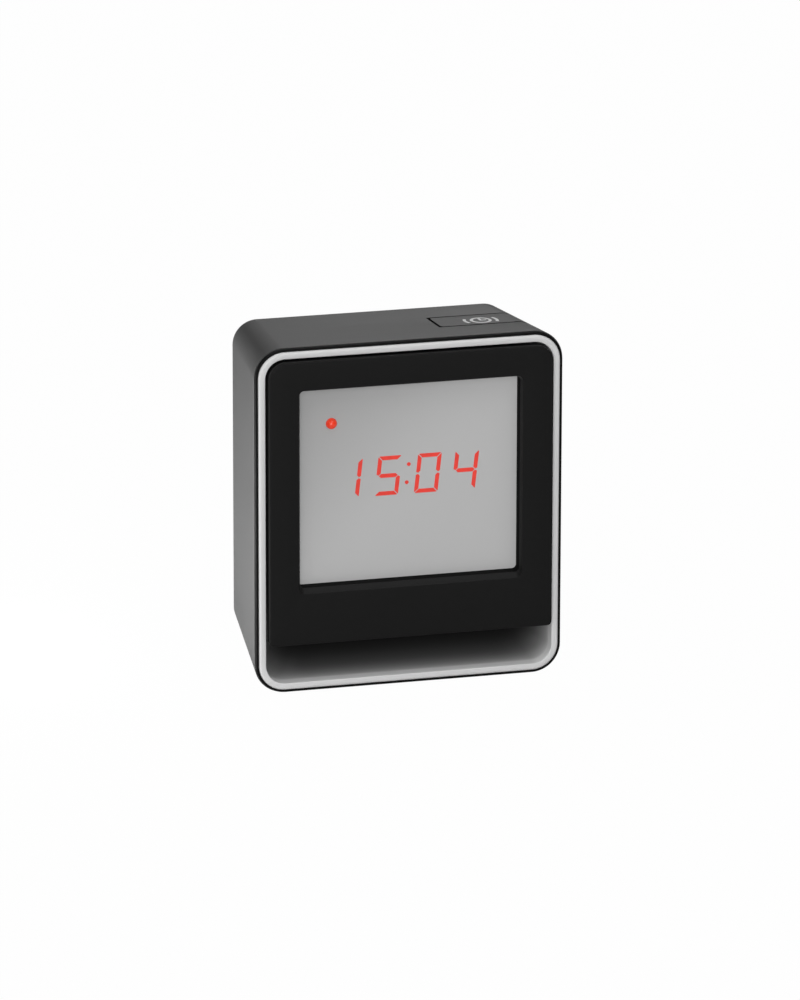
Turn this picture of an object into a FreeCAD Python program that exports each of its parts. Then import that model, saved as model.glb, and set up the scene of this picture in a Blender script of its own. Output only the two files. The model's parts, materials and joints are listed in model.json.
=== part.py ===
import FreeCAD, Part
import Sketcher
import math
import os
import re

# A small battery clock with a lit red display, in millimetres.
# While it is built, X is to the right, Y runs from the case's front edge to the back and Z
# is up along the front. The case narrows towards the back by the same taper on all four
# sides, so once it stands on its underside the whole clock leans back by that angle.

Vector = FreeCAD.Vector
doc = FreeCAD.newDocument("clock")
sheet = doc.addObject("Spreadsheet::Sheet", "Dimensions")

DIMENSIONS = (
    ("case_width", 92.0, "width of the case at its front edge"),
    ("case_height", 104.3, "height of the case at its front edge"),
    ("case_depth", 46.2, "front edge to back edge of the case"),
    ("case_taper", 4.6, "how far each side comes in from front to back"),
    ("case_wall", 1.8, "wall of the case"),
    ("front_radius", 8.85, "corner radius at the front edge"),
    ("back_radius", 7.25, "corner radius at the back edge"),
    ("gasket_inset", 0.4, "gasket's outer edge inside the case outline"),
    ("gasket_proud", 1.3, "gasket's rim ahead of the case"),
    ("gasket_web", 0.6, "thickness of the gasket behind the tray's rim"),
    ("rim_inset", 1.0, "tray rim's outer edge inside the case outline"),
    ("rim_proud", 1.65, "tray rim's face ahead of the case"),
    ("rim_width", 2.1, "width of the tray's rim"),
    ("rim_round", 0.5, "rounding of the rim's outer edge"),
    ("tub_inset", 2.0, "tub wall's outer face inside the case outline"),
    ("tub_depth", 12.5, "back of the tub behind the case's front edge"),
    ("scoop_depth", 10.9, "deepest part of the scoop behind the front edge"),
    ("scoop_round", 9.0, "radius of the curve from the scoop's sides to its back"),
    ("scoop_corner", 0.35, "how much the scoop's corners tighten as its sides come in"),
    ("rim_lip", 0.25, "rounding of the rim's inner edge"),
    ("tub_hole_half", 36.2, "half width of the hole in the tub's back"),
    ("tub_hole_low", 19.8, "lower edge of that hole"),
    ("tub_hole_high", 93.2, "upper edge of that hole"),
    ("plate_proud", 4.0, "front plate's face ahead of the case"),
    ("plate_thick", 2.4, "thickness of the front plate"),
    ("plate_half", 42.3, "half width of the front plate"),
    ("plate_low", 15.3, "lower edge of the front plate"),
    ("plate_high", 100.7, "upper edge of the front plate"),
    ("plate_radius", 5.1, "its upper corner radius"),
    ("plate_low_radius", 1.3, "its lower corner radius"),
    ("plate_round", 0.55, "rounding of its front edge"),
    ("skirt_half", 36.5, "half width of the plate's skirt"),
    ("skirt_low", 19.0, "lower edge of the skirt"),
    ("skirt_high", 94.0, "upper edge of the skirt"),
    ("skirt_wall", 1.0, "thickness of the skirt"),
    ("skirt_end", 9.95, "back end of the skirt"),
    ("window_half", 33.2, "half width of the window at the plate's face"),
    ("window_low", 30.75, "lower edge of the window"),
    ("window_high", 92.1, "upper edge of the window"),
    ("window_radius", 1.3, "corner radius of the window"),
    ("window_bevel", 0.5, "bevel at the window's sides and top"),
    ("sill_bevel", 1.4, "bevel at the window's lower edge"),
    ("lens_half", 34.4, "half width of the lens"),
    ("lens_low", 30.6, "lower edge of the lens"),
    ("lens_high", 92.0, "upper edge of the lens"),
    ("lens_radius", 1.0, "corner radius of the lens"),
    ("lens_set", 1.0, "lens face behind the case's front edge"),
    ("lens_thick", 1.5, "thickness of the lens"),
    ("carrier_half", 35.2, "half width of the lens carrier"),
    ("carrier_low", 21.0, "lower edge of the lens carrier"),
    ("carrier_high", 92.3, "upper edge of the lens carrier"),
    ("carrier_thick", 1.6, "thickness of the lens carrier"),
    ("carrier_window", 30.5, "half width of the carrier's opening"),
    ("carrier_sill", 35.0, "lower edge of the carrier's opening"),
    ("carrier_head", 89.0, "upper edge of the carrier's opening"),
    ("digit_width", 7.1, "outside width of a digit"),
    ("digit_height", 11.85, "outside height of a digit"),
    ("digit_centre", 63.26, "height of the digits' middle"),
    ("hour_tens_across", -17.55, "middle of the first digit from the clock's middle"),
    ("hour_units_across", -5.8, "middle of the second digit"),
    ("minute_tens_across", 6.05, "middle of the third digit"),
    ("minute_units_across", 17.25, "middle of the fourth digit"),
    ("colon_across", 0.03, "middle of the colon"),
    ("colon_up", 63.53, "height of the colon's middle"),
    ("digit_slant", 0.11, "sideways lean of the digits per unit of height"),
    ("bar_width", 1.2, "width of a bar"),
    ("bar_gap", 0.22, "gap between two bars"),
    ("bar_proud", 0.08, "lit bars ahead of the lens"),
    ("colon_dot", 1.15, "diameter of a colon dot"),
    ("colon_rise", 5.45, "distance between the colon dots"),
    ("lamp_across", -22.72, "indicator lamp from the clock's middle"),
    ("lamp_up", 80.2, "height of the indicator lamp"),
    ("lamp_radius", 1.65, "radius of the lamp's dome"),
    ("lamp_proud", 1.5, "top of the lamp's dome ahead of the lens"),
    ("lamp_flange", 2.1, "radius of the lamp's flange"),
    ("board_thick", 1.6, "thickness of a circuit board"),
    ("board_front", 7.4, "front face of the display board"),
    ("board_half", 34.0, "half width of the display board"),
    ("board_low", 24.0, "lower edge of the display board"),
    ("board_high", 91.0, "upper edge of the display board"),
    ("rear_front", 36.0, "front face of the main board"),
    ("rear_half", 33.0, "half width of the main board"),
    ("rear_low", 52.5, "lower edge of the main board"),
    ("rear_high", 87.0, "upper edge of the main board"),
    ("cover_front", 43.2, "inside face of the rear cover"),
    ("cover_thick", 2.0, "thickness of the rear cover"),
    ("cover_half", 39.4, "half width of the rear cover"),
    ("cover_low", 6.7, "lower edge of the rear cover"),
    ("cover_high", 97.6, "upper edge of the rear cover"),
    ("cover_radius", 5.2, "corner radius of the rear cover"),
    ("post_across", 35.3, "screw posts from the middle"),
    ("post_low", 12.0, "height of the lower screw posts"),
    ("post_high", 92.3, "height of the upper screw posts"),
    ("post_radius", 3.2, "radius of a screw post"),
    ("post_front", 24.0, "front end of the screw posts"),
    ("screw_radius", 1.15, "radius of a case screw's shank"),
    ("screw_head", 2.3, "radius of a case screw's head"),
    ("bay_half", 26.0, "half width of the battery bay, inside"),
    ("bay_low", 14.0, "lower inside face of the battery bay"),
    ("bay_high", 47.6, "upper inside face of the battery bay"),
    ("bay_front", 31.6, "front inside face of the battery bay"),
    ("bay_wall", 1.3, "wall of the battery bay"),
    ("cell_radius", 5.2, "radius of a battery cell"),
    ("cell_length", 43.5, "length of a battery cell without its tip"),
    ("cell_pitch", 11.2, "distance between cells"),
    ("door_half", 27.6, "half width of the battery door"),
    ("door_low", 12.2, "lower edge of the battery door"),
    ("door_high", 49.2, "upper edge of the battery door"),
    ("door_gap", 0.3, "gap round the battery door"),
    ("door_thick", 1.8, "thickness of the battery door"),
    ("pin_radius", 0.6, "radius of the door's hinge pins"),
    ("pin_length", 1.5, "length of the door's hinge pins"),
    ("pin_clearance", 0.08, "gap round a hinge pin"),
    ("key_left", 13.4, "left end of the top key"),
    ("key_front", 14.8, "front edge of the top key"),
    ("key_back", 29.6, "back edge of the top key"),
    ("key_low", 87.0, "lower end of the top key at the right-hand side"),
    ("key_gap", 0.3, "gap round the top key"),
    ("key_drop", 1.1, "gap below the top key, which takes its travel"),
    ("key_lip", 1.3, "how far the key's lip reaches under the case"),
    ("stem_across", 28.0, "top switch from the middle"),
    ("stem_back", 22.0, "top switch behind the front edge"),
    ("switch_size", 6.0, "side of a push switch"),
    ("switch_height", 3.5, "height of a push switch"),
    ("stem_radius", 1.5, "radius of a switch's stem"),
    ("stem_clearance", 0.1, "gap round a switch's stem"),
    ("shelf_top", 91.8, "upper face of the top switch's board"),
    ("shelf_left", 12.0, "left end of the top switch's board"),
    ("shelf_right", 31.7, "right end of the top switch's board"),
    ("shelf_back", 38.0, "back edge of the top switch's board"),
    ("stem_top", 96.6, "upper end of the top switch's stem"),
    ("cap_radius", 3.2, "radius of a rear button"),
    ("cap_clearance", 0.1, "gap round a rear button"),
    ("cap_pitch", 14.0, "distance between rear buttons"),
    ("cap_up", 76.0, "height of the rear buttons"),
    ("cap_end", 46.0, "outer end of a rear button"),
    ("slider_across", -16.0, "alarm slider from the middle"),
    ("slider_up", 60.0, "height of the alarm slider"),
    ("slider_width", 4.6, "width of the alarm slider"),
    ("slider_height", 3.6, "height of the alarm slider"),
    ("slider_travel", 2.0, "travel of the alarm slider each way"),
    ("buzzer_across", 15.0, "buzzer from the middle"),
    ("buzzer_up", 60.5, "height of the buzzer"),
    ("buzzer_radius", 6.0, "radius of the buzzer"),
    ("foot_radius", 4.5, "radius of a foot"),
    ("foot_height", 0.8, "height of a foot"),
    ("foot_across", 33.0, "feet from the middle"),
    ("foot_front", 8.0, "front feet behind the front edge"),
    ("foot_back", 38.0, "back feet behind the front edge"),
)
for row, (alias, value, meaning) in enumerate(DIMENSIONS, start=1):
    sheet.set("A%d" % row, meaning)
    sheet.set("B%d" % row, str(value))
    sheet.setAlias("B%d" % row, alias)
doc.recompute()
ALIASES = {alias for alias, value, meaning in DIMENSIONS}
nodes = []


def bound(formula):
    """Turn the sheet's aliases in a formula into references to its cells."""
    def reference(match):
        word = match.group()
        return "Dimensions." + word if word in ALIASES else word
    return re.sub(r"[a-z_]+", reference, str(formula))


def size(formula):
    """Work out a formula of the sheet's aliases as a number."""
    return float(sheet.evalExpression(bound(formula)))


def bind(item, **formulas):
    """Bind an object's properties; two underscores in a name stand for a dot."""
    for name, formula in formulas.items():
        item.setExpression(name.replace("__", "."), bound(formula))
    return item


def node(item, label):
    """Give a finished piece its name and keep it for the export."""
    item.Label = label
    nodes.append(item)
    return item


def block(x, y, z):
    """A box from three pairs of formulas, its low and high side on each axis."""
    box = doc.addObject("Part::Box", "Block")
    spans = ["(%s) - (%s)" % (high, low) for low, high in (x, y, z)]
    bind(box, Length=spans[0], Width=spans[1], Height=spans[2])
    bind(box, Placement__Base__x=x[0], Placement__Base__y=y[0], Placement__Base__z=z[0])
    return box


def rod(radius, length, x, y, z, turn=None):
    """A cylinder along Y, or along the axis that turn, a Rotation, gives it."""
    rod = doc.addObject("Part::Cylinder", "Rod")
    rod.Placement.Rotation = turn or FreeCAD.Rotation(Vector(1, 0, 0), -90)
    bind(rod, Radius=radius, Height=length)
    bind(rod, Placement__Base__x=x, Placement__Base__y=y, Placement__Base__z=z)
    return rod


ALONG_X = FreeCAD.Rotation(Vector(0, 1, 0), 90)
ALONG_Z = FreeCAD.Rotation()


def gather(kind, items):
    """Join pieces as a Part::MultiFuse or keep them apart in a Part::Compound."""
    result = doc.addObject(kind, kind.split("::")[1])
    if kind == "Part::Compound":
        result.Links = items
    else:
        result.Shapes = items
    return result


def fuse(*items):
    return gather("Part::MultiFuse", list(items))


def group(*items):
    return gather("Part::Compound", list(items))


def pair(kind, base, tool):
    """Cut a tool from a base, or keep what the two share."""
    result = doc.addObject(kind, kind.split("::")[1])
    result.Base = base
    result.Tool = tool
    return result


def cut(base, *tools):
    return pair("Part::Cut", base, tools[0] if len(tools) == 1 else group(*tools))


def draw_rounded(sketch, half, low, high, radius, low_radius=None):
    """Draw a rounded rectangle and bind its sides and corners to the sheet.

    Lines run bottom, right, top, left and the arcs sit at the corners between them.
    """
    x, z0, z1, r = size(half), size(low), size(high), size(radius)
    q = size(low_radius) if low_radius else r
    line = Part.LineSegment
    corners = ((x - q, z0 + q, q, -90), (x - r, z1 - r, r, 0), (r - x, z1 - r, r, 90), (q - x, z0 + q, q, 180))
    sketch.addGeometry([
        line(Vector(q - x, z0), Vector(x - q, z0)), line(Vector(x, z0 + q), Vector(x, z1 - r)),
        line(Vector(x - r, z1), Vector(r - x, z1)), line(Vector(-x, z1 - r), Vector(-x, z0 + q))], False)
    for cx, cz, radius_now, start in corners:
        circle = Part.Circle(Vector(cx, cz), Vector(0, 0, 1), radius_now)
        first = math.radians(start)
        sketch.addGeometry(Part.ArcOfCircle(circle, first, first + math.pi / 2), False)
    rule = Sketcher.Constraint
    for side in range(4):
        sketch.addConstraint(rule("Tangent", side, 2, side + 4, 1))
        sketch.addConstraint(rule("Tangent", side + 4, 2, (side + 1) % 4, 1))
    sketch.addConstraint([
        rule("Horizontal", 0), rule("Horizontal", 2), rule("Vertical", 1), rule("Vertical", 3),
        rule("Equal", 4, 7), rule("Equal", 5, 6)])
    measures = (
        (rule("DistanceX", 3, 1, 1, 1, 2 * x), "2 * (%s)" % half),
        (rule("DistanceX", -1, 1, 1, 1, x), half),
        (rule("DistanceY", 0, 1, 2, 1, z1 - z0), "(%s) - (%s)" % (high, low)),
        (rule("DistanceY", -1, 1, 2, 1, z1), high),
        (rule("Radius", 5, r), radius),
        (rule("Radius", 4, q), low_radius or radius))
    for constraint, formula in measures:
        index = sketch.addConstraint(constraint)
        sketch.setExpression("Constraints[%d]" % index, bound(formula))


def section(half, low, high, radius, depth):
    """A rounded rectangle across the clock, standing on its own at a depth."""
    sketch = doc.addObject("Sketcher::SketchObject", "Section")
    sketch.Placement = FreeCAD.Placement(Vector(), FreeCAD.Rotation(Vector(1, 0, 0), 90))
    draw_rounded(sketch, half, low, high, radius)
    return bind(sketch, Placement__Base__y=depth)


def taper_loft(inset, front, back, front_corner, back_corner):
    """A block that follows the case's taper, inset from its outline, between two depths."""
    slope = "(case_taper / case_depth)"
    sections = []
    for depth, corner in ((front, front_corner), (back, back_corner)):
        edge = "(%s) + %s * (%s)" % (inset, slope, depth)
        sections.append(section("case_width / 2 - (%s)" % edge, edge, "case_height - (%s)" % edge, corner, depth))
    loft = doc.addObject("Part::Loft", "Loft")
    loft.Sections = sections
    loft.Solid = True
    loft.Ruled = True
    return loft


def plane_of(body, role):
    return next(item for item in body.Origin.OriginFeatures if item.Role == role)


def body_sketch(body, depth, role="XZ_Plane"):
    """A sketch in a body, at a depth behind the case's front edge."""
    sketch = body.newObject("Sketcher::SketchObject", "Sketch")
    sketch.AttachmentSupport = [(plane_of(body, role), "")]
    sketch.MapMode = "FlatFace"
    return bind(sketch, AttachmentOffset__Base__z="-(%s)" % depth)


def feature(body, kind, sketch, length, reverse):
    """A Pad or a Pocket of a sketch, towards the back."""
    before = body.Tip.Shape.Volume if kind == "Pocket" else 0.0
    step = body.newObject("PartDesign::" + kind, kind)
    step.Profile = (sketch, [""])
    step.Reversed = reverse
    bind(step, Length=length)
    doc.recompute()
    if kind == "Pocket" and not step.Shape.Volume < before - 1e-6:
        raise RuntimeError("a pocket cut nothing in " + body.Label)
    return step


def rounded_pad(body, half, low, high, radius, front, back, low_radius=None):
    sketch = body_sketch(body, front)
    draw_rounded(sketch, half, low, high, radius, low_radius)
    return feature(body, "Pad", sketch, "(%s) - (%s)" % (back, front), True)


def rounded_pocket(body, half, low, high, radius, front, back):
    sketch = body_sketch(body, front)
    draw_rounded(sketch, half, low, high, radius)
    return feature(body, "Pocket", sketch, "(%s) - (%s)" % (back, front), False)


def holes(body, places, radius, front, depth):
    """Round holes towards the back at a list of places, each a pair of formulas."""
    sketch = body_sketch(body, front)
    for across, up in places:
        x, z = size(across), size(up)
        circle = sketch.addGeometry(Part.Circle(Vector(x, z), Vector(0, 0, 1), size(radius)), False)
        rule = Sketcher.Constraint
        index = sketch.addConstraint(rule("Radius", circle, size(radius)))
        sketch.setExpression("Constraints[%d]" % index, bound(radius))
        start, end = ((-1, 1), (circle, 3)) if x >= 0 else ((circle, 3), (-1, 1))
        index = sketch.addConstraint(rule("DistanceX", *start, *end, abs(x)))
        sketch.setExpression("Constraints[%d]" % index, bound("abs(%s)" % across))
        index = sketch.addConstraint(rule("DistanceY", -1, 1, circle, 3, z))
        sketch.setExpression("Constraints[%d]" % index, bound(up))
    return feature(body, "Pocket", sketch, depth, False)


def edges_where(shape, test):
    """Names of the edges that pass a test on their bounding box."""
    return ["Edge%d" % (i + 1) for i, edge in enumerate(shape.Edges) if test(edge.BoundBox)]


def flat_at(depth):
    return lambda box: abs(box.YMin - depth) < 1e-4 and abs(box.YMax - depth) < 1e-4


def new_body(label):
    body = doc.addObject("PartDesign::Body", "Body")
    return node(body, label)


def round_edges(body, names, radius):
    padded = body.Tip
    step = body.newObject("PartDesign::Fillet", "Fillet")
    step.Base = (padded, names)
    bind(step, Radius=radius)
    doc.recompute()
    return step


def case_shell():
    """The tapered case, open at the front and the back, with the key's opening and screw posts."""
    outer = taper_loft("0", "0", "case_depth", "front_radius", "back_radius")
    inner = taper_loft("case_wall", "0", "case_depth", "front_radius - case_wall", "back_radius - case_wall")
    supports, bores = [], []
    for side in (-1, 1):
        across = "%d * post_across" % side
        for up in ("post_low", "post_high"):
            supports.append(rod("post_radius", "cover_front - post_front", across, "post_front", up))
            wing = sorted((size(across), side * size("case_width") / 2))
            supports.append(block(wing, ("post_front", "cover_front"), (up + " - 1.2", up + " + 1.2")))
            bores.append(rod("screw_radius - 0.15", "14", across, "cover_front - 14", up))
    for across in ("shelf_left + 4", "shelf_right - 6"):
        height = "case_height - shelf_top"
        supports.append(rod("2.4", height, across, "shelf_back - 3", "shelf_top", ALONG_Z))
        bores.append(rod("0.9", "6", across, "shelf_back - 3", "shelf_top", ALONG_Z))
    inside = pair("Part::Common", fuse(*supports), outer)
    opening = block(
        ("key_left - key_gap", "case_width"), ("key_front - key_gap", "key_back + key_gap"),
        ("key_low - key_drop", "case_height + 5"))
    return node(cut(fuse(cut(outer, inner), inside), opening, *bores), "case_shell")


def front_gasket():
    """The thin black gasket between the case's front edge and the tray's rim."""
    body = new_body("front_gasket")
    outline = ("case_width / 2 - gasket_inset", "gasket_inset", "case_height - gasket_inset")
    rounded_pad(body, *outline, "front_radius - gasket_inset", "-gasket_proud", "0")
    step = "rim_inset"
    seat = ("case_width / 2 - (%s)" % step, step, "case_height - (%s)" % step)
    rounded_pocket(body, *seat, "front_radius - rim_inset", "-gasket_proud", "-gasket_web")
    hole = ("case_width / 2 - case_wall", "case_wall", "case_height - case_wall")
    rounded_pocket(body, *hole, "front_radius - case_wall", "-gasket_proud", "1")


def scoop_loft():
    """The hollow inside the rim, with its sides curving into its back through seven sections."""
    edge = "rim_inset + rim_width"
    slope = "(case_taper / case_depth)"
    steps = [("-rim_proud", "0")]
    for turn in range(0, 91, 15):
        angle = math.radians(turn)
        steps.append((
            "scoop_depth - scoop_round * %.6f" % (1 - math.sin(angle)), "scoop_round * %.6f" % (1 - math.cos(angle))))
    sections = []
    for depth, further in steps:
        inset = "%s + %s + %s * (%s)" % (edge, further, slope, depth)
        corner = "front_radius - (%s) - scoop_corner * %s" % (edge, further)
        sections.append(section(
            "case_width / 2 - (%s)" % inset, inset, "case_height - (%s)" % inset, corner, depth))
    loft = doc.addObject("Part::Loft", "Scoop")
    loft.Sections = sections
    loft.Solid = True
    loft.Ruled = True
    return loft


def front_tray():
    """The silver tray: a rounded rim and, behind it, a tub with a scooped floor."""
    rim_outer = section(
        "case_width / 2 - rim_inset", "rim_inset", "case_height - rim_inset", "front_radius - rim_inset", "-rim_proud")
    rim = doc.addObject("Part::Extrusion", "Rim")
    rim.Base = rim_outer
    rim.Dir = Vector(0, 1, 0)
    rim.DirMode = "Custom"
    rim.Solid = True
    bind(rim, LengthFwd="rim_proud - gasket_web")
    tub_corner = "front_radius - (front_radius - back_radius) * tub_depth / case_depth - tub_inset"
    tub = taper_loft("tub_inset", "-gasket_web", "tub_depth", "front_radius - tub_inset", tub_corner)
    scoop = scoop_loft()
    back_hole = block(
        ("-tub_hole_half", "tub_hole_half"), ("0", "tub_depth + 1"), ("tub_hole_low", "tub_hole_high"))
    tray = cut(fuse(rim, tub), scoop, back_hole)
    doc.recompute()
    rim_edges = doc.addObject("Part::Fillet", "RimEdges")
    rim_edges.Base = tray
    rows = []
    for name in edges_where(tray.Shape, flat_at(-size("rim_proud"))):
        number = int(name[4:])
        box = tray.Shape.Edges[number - 1].BoundBox
        inset = min(size("case_width / 2") - max(-box.XMin, box.XMax), box.ZMin, size("case_height") - box.ZMax)
        radius = size("rim_round") if inset < size("rim_inset + rim_width / 2") else size("rim_lip")
        rows.append((number, radius, radius))
    rim_edges.Edges = rows
    return node(rim_edges, "front_tray")


def front_plate():
    """The black front plate with its window, and a skirt that reaches the tub's back."""
    body = new_body("front_plate")
    face, rear = "-plate_proud", "plate_thick - plate_proud"
    rounded_pad(body, "plate_half", "plate_low", "plate_high", "plate_radius", face, rear, "plate_low_radius")
    names = edges_where(body.Tip.Shape, flat_at(-size("plate_proud")))
    round_edges(body, names, "plate_round")
    rounded_pad(body, "skirt_half", "skirt_low", "skirt_high", "2", rear, "skirt_end")
    inner = ("skirt_half - skirt_wall", "skirt_low + skirt_wall", "skirt_high - skirt_wall")
    rounded_pocket(body, *inner, "0.8", "lens_set", "skirt_end")
    hole = ("window_half - window_bevel", "window_low + sill_bevel", "window_high - window_bevel")
    rounded_pocket(body, *hole, "window_radius - window_bevel", face, "lens_set")
    return body


def window_bevels(body):
    """The bevels round the window, as a tapered tool that ends at the plate's face."""
    front = section("window_half", "window_low", "window_high", "window_radius", "-plate_proud - 0.001")
    back = section(
        "window_half - window_bevel", "window_low + sill_bevel", "window_high - window_bevel",
        "window_radius - window_bevel", "sill_bevel - plate_proud")
    loft = doc.addObject("Part::Loft", "Loft")
    loft.Sections = [front, back]
    loft.Solid = True
    loft.Ruled = True
    nodes.remove(body)
    body.Label = "front_plate_body"
    return node(cut(body, loft), "front_plate")


def bar_outlines():
    """The seven bars of a digit as closed outlines in the upright cell, keyed a to g."""
    wide, tall = size("digit_width") / 2, size("digit_height") / 2
    bar, gap = size("bar_width"), size("bar_gap") / math.sqrt(2)
    nick = bar / 4
    half = bar / 2
    top = [(-wide + nick + gap, tall), (wide - nick - gap, tall), (wide - nick / 2 - gap, tall - nick / 2),
           (wide - bar - gap, tall - bar), (bar + gap - wide, tall - bar), (nick / 2 + gap - wide, tall - nick / 2)]
    side = [(wide, tall - nick - gap), (wide, gap + nick), (wide - half, gap), (wide - bar, half + gap),
            (wide - bar, tall - bar - gap), (wide - nick / 2, tall - nick / 2 - gap)]
    middle = [(half - wide + gap, 0), (bar - wide + gap, half), (wide - bar - gap, half), (wide - half - gap, 0),
              (wide - bar - gap, -half), (bar - wide + gap, -half)]
    flip = {"x": lambda points: [(-x, z) for x, z in points], "z": lambda points: [(x, -z) for x, z in points]}
    return {
        "a": top, "b": side, "c": flip["z"](side), "d": flip["z"](top),
        "e": flip["z"](flip["x"](side)), "f": flip["x"](side), "g": middle}


def slanted(across, points):
    """Move an outline to its digit and lean it over."""
    slant, level = size("digit_slant"), size("digit_centre")
    return [(across + x + slant * z, level + z) for x, z in points]


def prism(points, front, back):
    corners = [Vector(x, front, z) for x, z in points]
    face = Part.Face(Part.makePolygon(corners + corners[:1]))
    return face.extrude(Vector(0, back - front, 0))


def display():
    """The lens with its digit bars, the light block behind them and the colon."""
    digits = (("hour_tens", "bc"), ("hour_units", "acdfg"), ("minute_tens", "abcdef"), ("minute_units", "bcfg"))
    lens_face = size("lens_set")
    lens_back = lens_face + size("lens_thick")
    bar_back = lens_back + size("carrier_thick")
    outlines = bar_outlines()
    dark, every = [], []
    for name, letters in digits:
        across = size(name + "_across")
        bright = []
        for letter, points in outlines.items():
            outline = slanted(across, points)
            if letter in letters:
                bright.append(prism(outline, lens_face - size("bar_proud"), bar_back))
            else:
                dark.append(prism(outline, lens_face, bar_back))
            every.append(outline)
        piece = doc.addObject("Part::Feature", "Bars")
        piece.Shape = Part.makeCompound(bright)
        node(piece, name + "_bars")
    piece = doc.addObject("Part::Feature", "DarkBars")
    piece.Shape = Part.makeCompound(dark)
    node(piece, "unlit_bars")
    rise = size("colon_rise") / 2
    dots, dot_holes = [], []
    for level in (-rise, rise):
        across = size("colon_across") + size("digit_slant") * level
        start = Vector(across, lens_face - size("bar_proud"), size("colon_up") + level)
        dots.append(Part.makeCylinder(size("colon_dot") / 2, bar_back - start.y, start, Vector(0, 1, 0)))
        dot_holes.append(start)
    piece = doc.addObject("Part::Feature", "Dots")
    piece.Shape = Part.makeCompound(dots)
    node(piece, "colon_dots")
    through = [prism(outline, lens_face - 1, size("board_front") + 1) for outline in every]
    for start in dot_holes:
        through.append(Part.makeCylinder(size("colon_dot") / 2, size("board_front") + 4, start, Vector(0, 1, 0)))
    channels = doc.addObject("Part::Feature", "Channels")
    channels.Shape = Part.makeCompound(through)
    lens = new_body("window_lens_body")
    nodes.remove(lens)
    rounded_pad(
        lens, "lens_half", "lens_low", "lens_high", "lens_radius", "lens_set", "lens_set + lens_thick")
    holes(lens, [("lamp_across", "lamp_up")], "lamp_radius + 0.05", "lens_set", "lens_thick")
    node(cut(lens, channels), "window_lens")
    light_block = block(
        ("-28", "27"), ("lens_set + lens_thick", "board_front"),
        ("digit_centre - 9.5", "digit_centre + 9.5"))
    node(cut(light_block, channels), "display_light_block")


def lens_carrier():
    """The frame that the lens is bonded to, with posts for the display board."""
    body = new_body("lens_carrier")
    front, rear = "lens_set + lens_thick", "lens_set + lens_thick + carrier_thick"
    rounded_pad(body, "carrier_half", "carrier_low", "carrier_high", "2", front, rear)
    rounded_pocket(body, "carrier_window", "carrier_sill", "carrier_head", "1", front, rear)
    nodes.remove(body)
    body.Label = "lens_carrier_body"
    posts, bores = [], []
    for across in (-31.0, 31.0):
        for up in ("board_low + 4", "board_high - 3"):
            posts.append(rod("2.6", "board_front - (%s)" % rear, across, rear, up))
            bores.append(rod("0.9", "board_front - (%s)" % rear, across, rear, up))
    node(cut(fuse(body, *posts), *bores), "lens_carrier")
    screws = []
    for across in (-31.0, 31.0):
        for up in ("board_low + 4", "board_high - 3"):
            back = "board_front + board_thick"
            shank = rod("0.9", "board_thick + 3.1", across, "board_front - 3.1", up)
            screws.append(fuse(shank, rod("1.8", "1.1", across, back, up)))
    node(group(*screws), "display_screws")


def indicator_lamp():
    """The round red lamp that comes through the lens, and its two leads."""
    across, up, radius = size("lamp_across"), size("lamp_up"), size("lamp_radius")
    tip = size("lens_set") - size("lamp_proud")
    seat = size("lens_set") + size("lens_thick")
    barrel = rod("lamp_radius", str(seat + 1.0 - tip - radius), "lamp_across", str(tip + radius), "lamp_up")
    dome = doc.addObject("Part::Sphere", "Dome")
    bind(dome, Radius="lamp_radius")
    dome.Placement.Base = Vector(across, tip + radius, up)
    base = rod("lamp_flange", "1.0", "lamp_across", str(seat + 0.05), "lamp_up")
    node(fuse(barrel, dome, base), "indicator_lamp")
    leads = []
    for step in (-1.27, 1.27):
        x = ("lamp_across + %s" % (step - 0.25), "lamp_across + %s" % (step + 0.25))
        leads.append(block(x, (str(seat + 1.05), "board_front + board_thick + 0.9"), ("lamp_up - 0.25", "lamp_up + 0.25")))
    node(group(*leads), "lamp_leads")


def board(label, half, low, high, front, places, radius):
    """A circuit board across the clock with its screw holes."""
    body = new_body(label)
    rounded_pad(body, half, low, high, "1.0", front, "(%s) + board_thick" % front)
    holes(body, places, radius, front, "board_thick")
    return body


def chip(label, x, front, z, across, tall, leads):
    """A chip on the back face of a board, with a row of leads on each side."""
    body = block((x - across / 2, x + across / 2), ("(%s) + 0.1" % front, "(%s) + 2.2" % front), (z - tall / 2, z + tall / 2))
    legs = []
    pitch = 1.27
    for i in range(leads):
        place = x + (i - (leads - 1) / 2) * pitch
        for side in (-1, 1):
            span = sorted((z + side * (tall / 2 - 0.2), z + side * (tall / 2 + 1.2)))
            legs.append(block((place - 0.2, place + 0.2), (front, "(%s) + 0.3" % front), span))
            rise = sorted((z + side * (tall / 2 - 0.2), z + side * (tall / 2 + 0.3)))
            legs.append(block((place - 0.2, place + 0.2), (front, "(%s) + 1.2" % front), rise))
    return node(fuse(body, *legs), label)


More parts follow.
